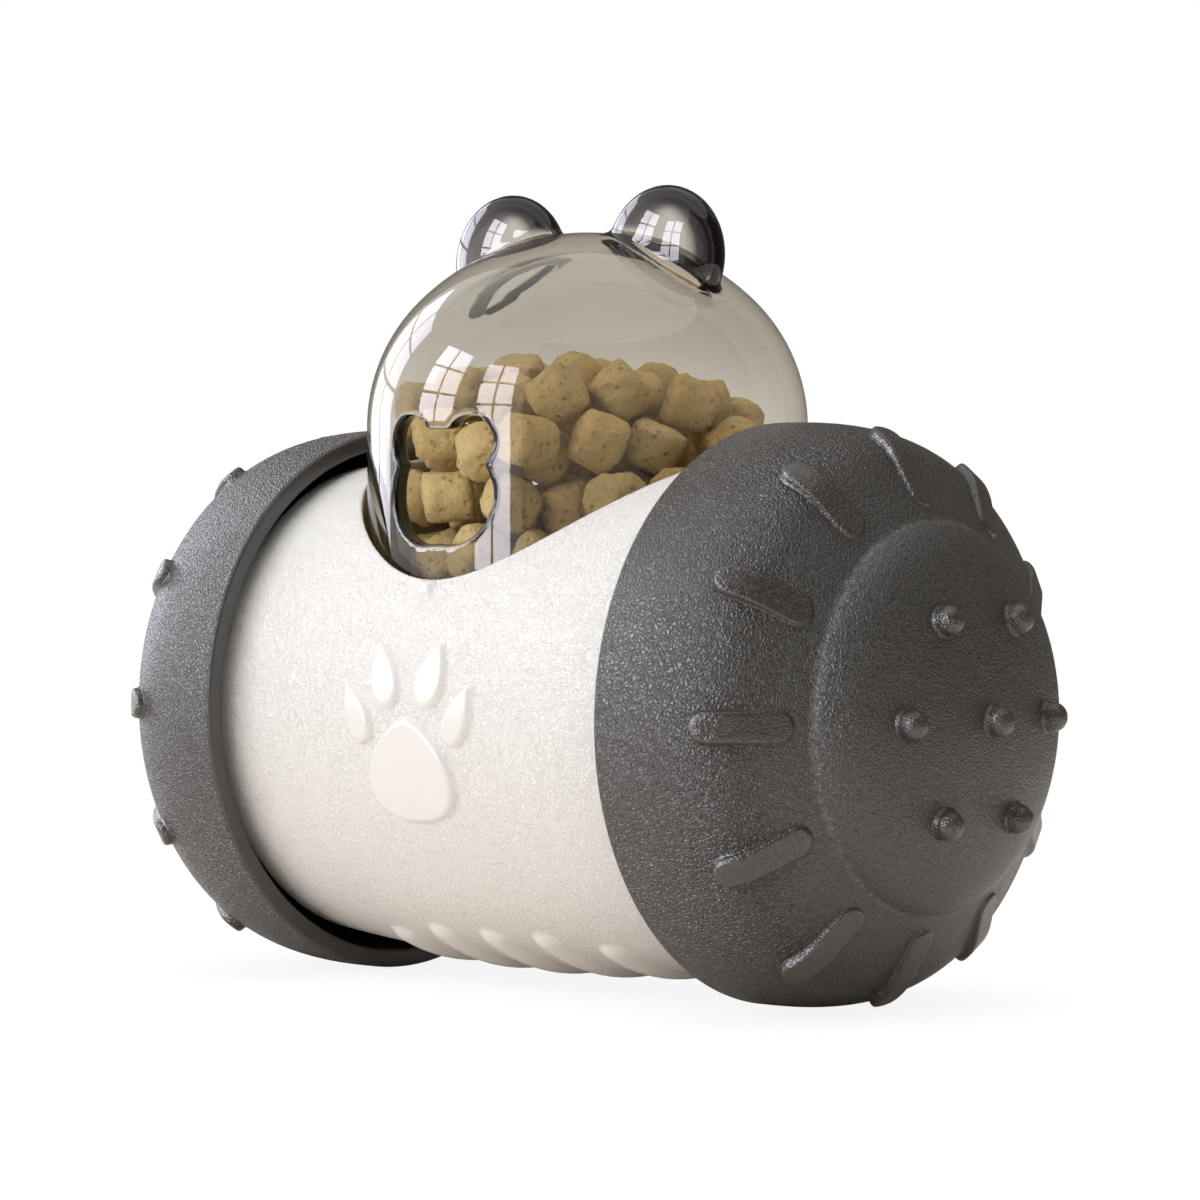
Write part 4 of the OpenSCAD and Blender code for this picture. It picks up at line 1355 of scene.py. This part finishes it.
@dataclass
class Dome:
    """The clear head: a dished dome with two hollow ears and a shaped treat outlet, blended into one wall."""

    radius: float = 33.1
    wall: float = 2.8
    foot_z: float = SEAT_Z + 0.05
    spring_z: float = 83.856
    rise: float = 29.2
    knuckle: float = 26.5
    ear_x: float = 15.5
    ear_z: float = 108.956
    ear_radius: float = 10.5
    ear_half: float = 5.2
    ear_round: float = 3.0
    ear_wall: float = 2.0
    ear_blend: float = 1.6
    outlet_z: float = 66.456
    outlet_half: float = 9.6
    outlet_height: float = 18.6
    outlet_low: float = 7.1
    outlet_lobe: float = 3.9
    edge_blend: float = 0.9
    hollow_blend: float = 0.5
    wall_blend: float = 0.3
    foot_blend: float = 0.5
    probe: float = 0.02
    cell: float = 0.7
    side_gap: float = 1.33
    foot_gap: float = 1.37
    far_gap: float = 1.4
    pulls: int = 6
    pull: float = 0.9

    @staticmethod
    def dished(
        across: np.ndarray, height: np.ndarray, radius: float, rise: float, knuckle: float
    ) -> np.ndarray:
        """Measures the distance to a dished end: a straight side below, a knuckle, then a flatter crown.

        Args:
            across: Distance from the axis.
            height: Height above the foot of the knuckle.
            radius: Radius of the straight side.
            rise: Height of the crown.
            knuckle: Radius of the knuckle.

        Returns:
            Distance, negative inside.
        """
        inset = radius - knuckle
        crown = (inset**2 + rise**2 - knuckle**2) / (2 * (rise - knuckle))
        turn = math.atan2(crown - rise, inset)
        angle = np.arctan2(height, across - inset)
        side = across - radius
        bend = np.hypot(across - inset, height) - knuckle
        top = np.hypot(across, height - rise + crown) - crown
        return np.where(height < 0.0, side, np.where((angle < turn) & (across > inset), bend, top))

    @staticmethod
    def join(first: np.ndarray, second: np.ndarray, blend: float) -> np.ndarray:
        """Joins two forms with a soft fillet of about the given width."""
        share = np.clip(0.5 + 0.5 * (second - first) / blend, 0.0, 1.0)
        return second + (first - second) * share - blend * share * (1.0 - share)

    def outlet(self, x: np.ndarray, z: np.ndarray) -> np.ndarray:
        """Measures the distance to the outlet's outline: a wide round base with two lobes on top.

        Args:
            x: Place across the outlet.
            z: Height above the outlet's lower edge.

        Returns:
            Distance, negative inside.
        """
        low_x = self.outlet_half - self.outlet_low
        base = np.hypot(np.maximum(np.abs(x) - low_x, 0.0), z - self.outlet_low) - self.outlet_low
        lobe_x = self.outlet_half - self.outlet_lobe
        lobe_z = self.outlet_height - self.outlet_lobe
        lobe = np.hypot(np.abs(x) - lobe_x, z - lobe_z) - self.outlet_lobe
        brow = self.outlet_height - self.outlet_lobe / 2
        middle = (brow + self.outlet_low) / 2
        block = np.maximum(np.abs(x) - lobe_x, np.abs(z - middle) - (brow - middle))
        return np.minimum(np.minimum(base, block), lobe)

    def distance(self, points: np.ndarray) -> np.ndarray:
        """Measures the distance to the dome's wall.

        Args:
            points: Points in millimetres.

        Returns:
            Distance, negative inside the wall.
        """
        x, y, z = points[..., 0], points[..., 1], points[..., 2]
        shell = self.dished(np.hypot(x, y), z - self.spring_z, self.radius, self.rise, self.knuckle)
        beside = np.hypot(np.abs(x) - self.ear_x, z - self.ear_z)
        ear = self.dished(beside, np.abs(y), self.ear_radius, self.ear_half, self.ear_round)
        outer = self.join(shell, ear, self.ear_blend)
        hollow = self.join(shell + self.wall, ear + self.ear_wall, self.hollow_blend)
        wall = -self.join(-outer, hollow, self.wall_blend)
        wall = -self.join(-wall, z - self.foot_z, self.foot_blend)
        outlet = np.where(y < 0.0, self.outlet(x, z - self.outlet_z), self.outlet_half)
        return -self.join(-wall, outlet, self.edge_blend)

    def slope(self, points: np.ndarray) -> np.ndarray:
        """Gives the direction in which the distance grows, which is the wall's normal.

        Args:
            points: Points in millimetres.

        Returns:
            A direction of length 1 for each point.
        """
        sides = []
        for offset in self.probe * np.eye(3):
            sides.append(self.distance(points + offset) - self.distance(points - offset))
        grade = np.stack(sides, axis=-1)
        return grade / np.maximum(np.linalg.norm(grade, axis=-1, keepdims=True), 1e-9)

    @staticmethod
    def beside(at: np.ndarray, axes: list[int], back: tuple[int, int]) -> tuple[np.ndarray, ...]:
        """Finds the cells that lie beside crossed edges.

        Args:
            at: Places of the edges in the grid.
            axes: The two axes across the edges.
            back: Steps back along them.

        Returns:
            Places of the cells, as an index.
        """
        box = at.copy()
        box[:, axes] -= back
        return tuple(box.T)

    def net(self) -> tuple[np.ndarray, np.ndarray]:
        """Wraps the wall in a net of quads whose points lie on its surface.

        Returns:
            Points in millimetres, and the four points of each quad.
        """
        cell = self.cell
        side = self.radius + self.side_gap
        low = np.array([-side, -side, self.foot_z - self.foot_gap])
        high = np.array([self.radius, self.radius, self.ear_z + self.ear_radius]) + self.far_gap
        counts = np.ceil((high - low) / cell).astype(int) + 1
        axes = [low[i] + cell * np.arange(counts[i]) for i in range(3)]
        field = self.distance(np.stack(np.meshgrid(*axes, indexing="ij"), axis=-1))
        inside = field < 0.0
        total = np.zeros([*(counts - 1), 3])
        hits = np.zeros(counts - 1)
        edges = []
        for axis in range(3):
            here = [slice(None)] * 3
            there = [slice(None)] * 3
            here[axis] = slice(None, -1)
            there[axis] = slice(1, None)
            start, end = field[tuple(here)], field[tuple(there)]
            at = np.argwhere(inside[tuple(here)] != inside[tuple(there)])
            share = start[tuple(at.T)] / (start[tuple(at.T)] - end[tuple(at.T)])
            crossing = at.astype(float)
            crossing[:, axis] += share
            others = [i for i in range(3) if i != axis]
            for back in ((0, 0), (0, 1), (1, 0), (1, 1)):
                cells = self.beside(at, others, back)
                np.add.at(total, cells, crossing)
                np.add.at(hits, cells, 1.0)
            edges.append((axis, others, at, inside[tuple(here)][tuple(at.T)]))
        used = np.argwhere(hits > 0)
        number = np.full(counts - 1, -1)
        number[tuple(used.T)] = np.arange(len(used))
        points = low + cell * total[tuple(used.T)] / hits[tuple(used.T)][:, None]
        for _ in range(self.pulls):
            points = points - self.pull * self.distance(points)[:, None] * self.slope(points)
        quads = []
        for axis, others, at, starts_inside in edges:
            corners = ((0, 0), (1, 0), (1, 1), (0, 1))
            quad = np.stack([number[self.beside(at, others, back)] for back in corners], axis=1)
            turned = starts_inside if axis != 1 else ~starts_inside
            quad[~turned] = quad[~turned][:, ::-1]
            quads.append(quad)
        return points, np.concatenate(quads)

    def shell(self) -> bpy.types.Object:
        """Builds the dome with the normals of its true form.

        Returns:
            The new object.
        """
        points, quads = self.net()
        mesh = bpy.data.meshes.new("dome_shell")
        mesh.from_pydata((points * MM).tolist(), [], quads.tolist())
        mesh.shade_smooth()
        mesh.normals_split_custom_set_from_vertices(self.slope(points).tolist())
        return link_object("dome_shell", mesh)

    def build(self, finish: bpy.types.Material) -> list[bpy.types.Object]:
        """Builds, dresses and seats the dome.

        Args:
            finish: Material of the dome.

        Returns:
            The new pieces.
        """
        shell = self.shell()
        shell.data.materials.append(finish)
        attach(shell, Body.DOME.value)
        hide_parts("dome")
        return [shell]


@dataclass
class KibbleHeap:
    """The charge of kibble: a crumbly rounded puck for each piece of the frame's heap."""

    swell: float = 0.96
    height: float = 0.86
    shapes: int = 6
    fineness: int = 4
    dents: int = 5
    dent_wave: tuple[float, float, float, float] = (1.6, 3.4, 0.012, 0.04)
    crumbs: int = 26
    crumb_wave: tuple[float, float, float, float] = (8.0, 20.0, 0.004, 0.01)
    wave_shift: float = 6.28
    flat_range: tuple[float, float] = (0.88, 1.06)
    power_range: tuple[float, float] = (5.5, 8.5)
    oval_range: tuple[float, float] = (1.0, 1.1)
    seed: int = 23

    @staticmethod
    def islands(node: bpy.types.Object) -> list[np.ndarray]:
        """Parts the frame's heap into its pieces.

        Args:
            node: The frame's kibble.

        Returns:
            The points of each piece in millimetres.
        """
        work = bmesh.new()
        work.from_mesh(node.data)
        bmesh.ops.remove_doubles(work, verts=work.verts, dist=1e-6)
        left = set(work.verts)
        groups = []
        while left:
            reach = [left.pop()]
            group = []
            while reach:
                vert = reach.pop()
                group.append(vert.co / MM)
                for edge in vert.link_edges:
                    other = edge.other_vert(vert)
                    if other in left:
                        left.remove(other)
                        reach.append(other)
            groups.append(np.array(group))
        work.free()
        return sorted(groups, key=lambda group: tuple(group.mean(axis=0).round(3)))

    def measure(self, node: bpy.types.Object) -> tuple[np.ndarray, np.ndarray, np.ndarray]:
        """Measures where each piece lies, which way its axis points and how wide it is.

        Args:
            node: The frame's kibble.

        Returns:
            Middles, axes and widths.
        """
        middles, axes, widths = [], [], []
        for group in self.islands(node):
            spread, ways = np.linalg.eigh(np.cov((group - group.mean(axis=0)).T))
            axis = ways[:, 0] if spread[1] - spread[0] > spread[2] - spread[1] else ways[:, 2]
            low, high = (group @ ways).min(axis=0), (group @ ways).max(axis=0)
            middle = ways @ ((low + high) / 2)
            offset = group - middle
            beside = offset - np.outer(offset @ axis, axis)
            middles.append(middle)
            axes.append(axis)
            widths.append(2 * np.linalg.norm(beside, axis=1).max())
        return np.array(middles), np.array(axes), np.array(widths)

    def lump(self, number: int) -> bpy.types.Object:
        """Shapes one piece of kibble: a puck with worn edges, dents and a crumbly skin.

        Args:
            number: Which of the shapes it is.

        Returns:
            The shape, in metres, one millimetre across.
        """
        rng = np.random.default_rng(self.seed * 100 + number)
        work = bmesh.new()
        bmesh.ops.create_icosphere(work, subdivisions=self.fineness, radius=1.0)
        way = np.array([v.co for v in work.verts])
        flat = self.height * rng.uniform(*self.flat_range)
        power = rng.uniform(*self.power_range)
        ring = np.hypot(way[:, 0], way[:, 1] * rng.uniform(*self.oval_range))
        reach = (ring**power + np.abs(way[:, 2] / flat) ** power) ** (-1.0 / power)
        waves = [self.dent_wave] * self.dents + [self.crumb_wave] * self.crumbs
        for slow, fast, low, high in waves:
            axis = rng.normal(size=3)
            axis /= np.linalg.norm(axis)
            bend = rng.uniform(slow, fast)
            depth = rng.uniform(low, high)
            reach *= 1.0 + depth * np.sin(bend * (way @ axis) + rng.uniform(0.0, self.wave_shift))
        for vert, spot in zip(work.verts, way * reach[:, None] * 0.5 * MM):
            vert.co = spot
        mesh = bpy.data.meshes.new(f"lump_{number}")
        work.to_mesh(mesh)
        work.free()
        return link_object(f"lump_{number}", mesh)

    def build(
        self, node: bpy.types.Object, copies: CopyTree, finish: bpy.types.Material
    ) -> list[bpy.types.Object]:
        """Builds, dresses and seats the heap.

        Args:
            node: The frame's kibble.
            copies: Tree that sets the pieces.
            finish: Material of the kibble.

        Returns:
            The new pieces.
        """
        place, axes, widths = self.measure(node)
        rng = np.random.default_rng(self.seed + 1)
        marks = {
            "facing": axes.astype(np.float32),
            "along": np.cross(axes, rng.normal(size=axes.shape)).astype(np.float32),
            "size": (self.swell * widths).astype(np.float32),
            "shape": rng.integers(0, self.shapes, len(place)).astype(np.int32),
            "tone": rng.uniform(0.0, 1.0, len(place)).astype(np.float32),
        }
        lumps = [self.lump(i) for i in range(self.shapes)]
        heap = copies.run("kibble_heap", place, marks, lumps, finish, FULL_TURN, self.seed)
        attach(heap, Body.HOPPER.value)
        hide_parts("kibble")
        LOG.info("kibble pieces: %d", len(place))
        return [heap]


class InnerFinishes:
    """Finishes of the pieces inside the toy, which keep the frame's own shapes."""

    def dress(self, nodes: dict[str, bpy.types.Object]) -> None:
        """Puts each finish on its nodes.

        Args:
            nodes: The frame's nodes by name.
        """
        finishes = [
            MouldedFinish(
                "inner_white", (0.8, 0.79, 0.77), (0.72, 0.7, 0.67),
                roughness=0.5, cells=1500.0, depth=4e-5,
            ),
            MouldedFinish(
                "core_black", (0.03, 0.03, 0.03), (0.05, 0.048, 0.045),
                roughness=0.5, cells=1500.0, depth=4e-5,
            ),
            MouldedFinish(
                "bearing_ivory", (0.76, 0.7, 0.56), (0.68, 0.61, 0.46),
                roughness=0.38, cells=2000.0, depth=2e-5,
            ),
            MouldedFinish(
                "seal_grey", (0.16, 0.16, 0.165), (0.12, 0.12, 0.12),
                roughness=0.55, cells=2400.0, depth=3e-5,
            ),
            MetalFinish(
                "screw_steel", (0.66, 0.66, 0.68), (0.52, 0.52, 0.54),
                roughness=0.28, grain=5200.0, depth=2e-5,
            ),
            MetalFinish(
                "weight_iron", (0.24, 0.24, 0.25), (0.17, 0.16, 0.155),
                roughness=0.6, grain=2600.0, depth=1.2e-4,
            ),
        ]
        built = {finish.name: finish.material() for finish in finishes}
        sorts = {
            "core_black": ("wheel_core",),
            "bearing_ivory": ("bush",),
            "seal_grey": ("seal_ring",),
            "screw_steel": ("screw", "washer"),
            "weight_iron": ("counterweight",),
            "inner_white": ("end_plate", "weight_cover", "bridge", "hopper"),
        }
        for name, node in nodes.items():
            for title, words in sorts.items():
                if any(word in name for word in words):
                    for place in node.material_slots:
                        place.material = built[title]
                    break


@dataclass(frozen=True)
class Studio:
    """Pale floor, soft light, windows and dark cards for the reflections, and the photograph's camera."""

    azimuth: float = 41.44
    elevation: float = 1.097
    target: tuple[float, float, float] = (0.002507, 0.0, 0.057939)
    distance: float = 0.63756
    lens: float = 127.44
    sensor: float = 36.0
    room: float = 0.74
    room_blend: tuple[float, float] = (-0.25, 0.5)
    room_low: Colour = (1.0, 0.9, 0.8)
    room_high: Colour = (0.96, 0.97, 1.0)
    pane_light: float = 12.5
    side_light: float = 5.5
    pane_tint: Colour = (0.9, 0.885, 1.0)
    soft_light: float = 2.75
    soft_azimuth: float = -26.0
    soft_half: tuple[float, float] = (0.75, 0.55)
    soft_lift: float = 1.2
    top_light: float = 2.3
    top_half: float = 0.6
    top_rise: float = 1.2
    card_light: float = 0.16
    card_tint: Colour = (1.0, 0.9, 0.82)
    card_setback: float = 1.1
    card_steps: int = 16
    window_range: float = 1.5
    window_bar: float = 0.035
    sill_rise: float = 0.08
    floor_radius: float = 0.6
    floor_corners: int = 96
    floor_fade: tuple[float, float] = (0.16, 0.45)
    floor_tint: Colour = (0.94, 0.87, 0.79)
    floor_seen: Colour = (0.16, 0.16, 0.16)
    floor_glow: float = 0.88

    @staticmethod
    def toward(azimuth: float, elevation: float) -> np.ndarray:
        """Direction from the toy, from an angle round it and an angle above the floor, in degrees."""
        a, e = math.radians(azimuth), math.radians(elevation)
        return np.array([math.sin(a) * math.cos(e), -math.cos(a) * math.cos(e), math.sin(e)])

    def camera(self) -> None:
        """Sets up the camera."""
        data = bpy.data.cameras.new("photo_camera")
        data.sensor_width = self.sensor
        data.lens = self.lens
        data.clip_start, data.clip_end = 0.01, 20.0
        camera = bpy.data.objects.new("photo_camera", data)
        bpy.context.scene.collection.objects.link(camera)
        back = Vector(self.toward(self.azimuth, self.elevation))
        camera.location = Vector(self.target) + back * self.distance
        camera.rotation_euler = (-back).to_track_quat("-Z", "Y").to_euler()
        bpy.context.scene.camera = camera

    def world(self) -> None:
        """Lights the room evenly, a little warmer from below, behind a white background."""
        world = bpy.data.worlds.new("pale_room")
        bpy.context.scene.world = world
        world.use_nodes = True
        tree = world.node_tree
        tree.nodes.clear()
        kit = NodeKit(tree)
        way = kit.add("ShaderNodeTexCoord").outputs["Generated"]
        share = kit.ease(kit.parts(way)["Z"], *self.room_blend)
        tone = kit.mix(share, solid(self.room_low), solid(self.room_high))
        soft = kit.add("ShaderNodeBackground", {"Color": tone, "Strength": self.room})
        white = kit.add("ShaderNodeBackground", {"Color": solid(WHITE), "Strength": 1.0})
        rays = kit.add("ShaderNodeLightPath").outputs
        seen = kit.maths("MAXIMUM", rays["Is Camera Ray"], rays["Is Transmission Ray"])
        seen = kit.maths("MAXIMUM", seen, rays["Is Glossy Ray"])
        both = kit.add("ShaderNodeMixShader", {0: seen, 1: soft.outputs[0], 2: white.outputs[0]})
        kit.add("ShaderNodeOutputWorld", {"Surface": both.outputs[0]})

    def floor(self) -> None:
        """Lays a pale floor that fades into the background and keeps the toy's shadow."""
        ring = even_turns(self.floor_corners)
        rim = np.stack([np.cos(ring), np.sin(ring), np.zeros(self.floor_corners)], axis=1) * self.floor_radius
        mesh = bpy.data.meshes.new("floor")
        mesh.from_pydata(rim.tolist(), [], [tuple(range(self.floor_corners))])
        floor = link_object("floor", mesh)
        paint = Paint("pale_floor")
        kit = paint.kit
        fade = kit.ease(kit.length(paint.place), *self.floor_fade)
        seen = kit.add("ShaderNodeLightPath").outputs["Is Camera Ray"]
        tone = kit.mix(seen, solid(self.floor_tint), solid(self.floor_seen))
        matt = kit.add("ShaderNodeBsdfDiffuse", {"Color": tone})
        glow = kit.add("ShaderNodeEmission", {"Color": solid(WHITE), "Strength": self.floor_glow})
        clear = kit.add("ShaderNodeBsdfTransparent")
        bright = kit.add("ShaderNodeAddShader", {0: matt.outputs[0], 1: glow.outputs[0]})
        lit = kit.add("ShaderNodeMixShader", {0: seen, 1: matt.outputs[0], 2: bright.outputs[0]})
        paint.swap(kit.add("ShaderNodeMixShader", {0: fade, 1: lit.outputs[0], 2: clear.outputs[0]}))
        mesh.materials.append(paint.material)

    def window(
        self, name: str, azimuth: float, low: float, width: float, height: float, strength: float
    ) -> None:
        """Hangs one window of six panes, which faces the toy.

        Args:
            name: Name of the window.
            azimuth: Angle round the toy, in degrees.
            low: Angle of its lower edge above the floor, in degrees.
            width: Its width, in metres.
            height: Its height, in metres.
            strength: Strength of its light.
        """
        out = self.toward(azimuth, 0.0)
        across = np.array([-out[1], out[0], 0.0])
        sill = self.window_range * math.tan(math.radians(low)) + self.sill_rise
        foot = out * self.window_range + np.array([0.0, 0.0, sill])
        bar = self.window_bar
        rows, columns = 3, 2
        points, faces = [], []
        for row in range(rows):
            for column in range(columns):
                left = (column / columns - 0.5) * width + bar / 2
                right = ((column + 1) / columns - 0.5) * width - bar / 2
                foot_edge = row / rows * height + bar / 2
                head_edge = (row + 1) / rows * height - bar / 2
                start = len(points)
                corners = ((left, foot_edge), (right, foot_edge), (right, head_edge), (left, head_edge))
                for aside, up in corners:
                    points.append((foot + across * aside + np.array([0.0, 0.0, up])).tolist())
                faces.append((start, start + 1, start + 2, start + 3))
        panes = self.panel(name, points, faces, self.pane_tint, strength)
        panes.visible_diffuse = False

    def panel(
        self,
        name: str,
        points: list[list[float]],
        faces: list[tuple[int, ...]],
        tint: Colour,
        strength: float,
    ) -> bpy.types.Object:
        """Makes a glowing panel that the camera doesn't see.

        Args:
            name: Name of the panel.
            points: Its corners.
            faces: Its faces.
            tint: Colour of its light.
            strength: Strength of its light.

        Returns:
            The new object.
        """
        mesh = bpy.data.meshes.new(name)
        mesh.from_pydata(points, [], faces)
        panel = link_object(name, mesh)
        paint = Paint(name)
        light = paint.kit.add("ShaderNodeEmission", {"Color": solid(tint), "Strength": strength})
        paint.swap(light)
        mesh.materials.append(paint.material)
        panel.visible_camera = False
        panel.visible_transmission = False
        panel.visible_shadow = False
        return panel

    def soft_box(
        self, name: str, middle: np.ndarray, across: np.ndarray, up: np.ndarray, strength: float
    ) -> None:
        """Hangs one soft light that glossy surfaces don't mirror.

        Args:
            name: Name of the light.
            middle: Its middle.
            across: Half of its width, as a direction.
            up: Half of its height, as a direction.
            strength: Strength of its light.
        """
        corners = [middle - across - up, middle + across - up, middle + across + up, middle - across + up]
        points = [corner.tolist() for corner in corners]
        box = self.panel(name, points, [(0, 1, 2, 3)], WHITE, strength)
        box.visible_glossy = False

    def dark_card(self, name: str, start: float, end: float, low: float, high: float) -> None:
        """Stands a dark curved card round part of the toy, which only reflections show.

        Args:
            name: Name of the card.
            start: Angle round the toy at which it starts, in degrees.
            end: Angle at which it ends, in degrees.
            low: Height of its lower edge, in metres.
            high: Height of its upper edge, in metres.
        """
        points, faces = [], []
        for angle in np.linspace(start, end, self.card_steps + 1):
            x, y, _ = self.card_setback * self.window_range * self.toward(angle, 0.0)
            points += [[x, y, low], [x, y, high]]
        for i in range(0, 2 * self.card_steps, 2):
            faces.append((i, i + 2, i + 3, i + 1))
        card = self.panel(name, points, faces, self.card_tint, self.card_light)
        card.visible_diffuse = False

    def build(self) -> None:
        """Sets up light, floor and camera."""
        self.camera()
        self.world()
        self.floor()
        self.window("left_window", azimuth=-44.0, low=2.0, width=0.68, height=1.1, strength=self.pane_light)
        self.window("front_window", azimuth=-8.0, low=-2.0, width=0.56, height=1.1, strength=self.pane_light)
        self.window("side_window", azimuth=-96.0, low=-2.0, width=0.8, height=1.1, strength=self.side_light)
        self.dark_card("right_card", start=8.0, end=180.0, low=-0.2, high=2.2)
        self.dark_card("rear_card", start=-180.0, end=-114.0, low=-0.2, high=2.2)
        half_width, half_height = self.soft_half
        out = self.toward(self.soft_azimuth, 0.0)
        across = np.array([-out[1], out[0], 0.0])
        rise = np.array([0.0, 0.0, half_height])
        middle = out * self.window_range + rise * self.soft_lift
        self.soft_box("front_soft", middle, half_width * across, rise, self.soft_light)
        left, back, up = np.diag([self.top_half, self.top_half, self.top_rise])
        self.soft_box("top_soft", up, left, back, self.top_light)
        bpy.context.scene.view_settings.view_transform = "Standard"


def main() -> None:
    """Builds every piece in order."""
    logging.basicConfig(level=logging.INFO, format="%(name)s: %(message)s")
    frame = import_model()
    Studio().build()
    copies = CopyTree()
    charcoal = MouldedFinish(
        "wheel_charcoal",
        (0.025, 0.0195, 0.015),
        (0.032, 0.0255, 0.019),
        roughness=0.31,
        cells=1600.0,
        depth=0.00021,
        mark="plain",
        marked_colour=(0.026, 0.024, 0.022),
        gloss=1.0,
        index=1.52,
        crease=0.7,
        spread=0.1,
        # The shell's edge mark carries a painted highlight along the hub cap's crease.
        edge="edge",
    ).material()
    # A lighter copy of the charcoal for the bars and nubs: painted highlight, with a smoother grain.
    highlit = MouldedFinish(
        "wheel_charcoal_worn",
        (0.027, 0.0215, 0.0165),
        (0.038, 0.031, 0.024),
        roughness=0.28,
        cells=1600.0,
        depth=0.00005,
        gloss=1.0,
        index=1.52,
        crease=0.8,
    ).material()
    white = MouldedFinish(
        "barrel_white",
        (0.88, 0.865, 0.845),
        (0.86, 0.84, 0.815),
        roughness=0.42,
        cells=1900.0,
        depth=0.0001,
        polish=0.2,
        mark="polished",
        marked_colour=(0.79, 0.775, 0.755),
    ).material()
    smoke = SmokeFinish(
        "dome_smoke",
        tint=(0.44, 0.365, 0.205),
        density=145.0,
        crown_tint=(0.84, 0.83, 0.81),
        crown_low=0.084,
        crown_high=0.1,
        roughness=0.008,
        # Near-black painted shade on the ear rims.
        rim_tint=(0.03, 0.022, 0.035),
    ).material()
    kibble = KibbleFinish(
        "kibble_tan", pale=(0.98, 0.77, 0.37), dark=(0.96, 0.69, 0.29), pore=(0.5, 0.28, 0.09), mark="tone"
    ).material()
    pieces: list[bpy.types.Object] = []
    for side in Side:
        pieces += BellWheel(side).build(copies, charcoal, highlit)
    pieces += Barrel().build(white)
    pieces += Dome().build(smoke)
    pieces += KibbleHeap().build(frame["nodes"]["kibble"], copies, kibble)
    InnerFinishes().dress(frame["nodes"])
    for piece in pieces:
        LOG.info("%s: %d faces", piece.name, len(piece.data.polygons))


if __name__ == "__main__":
    main()
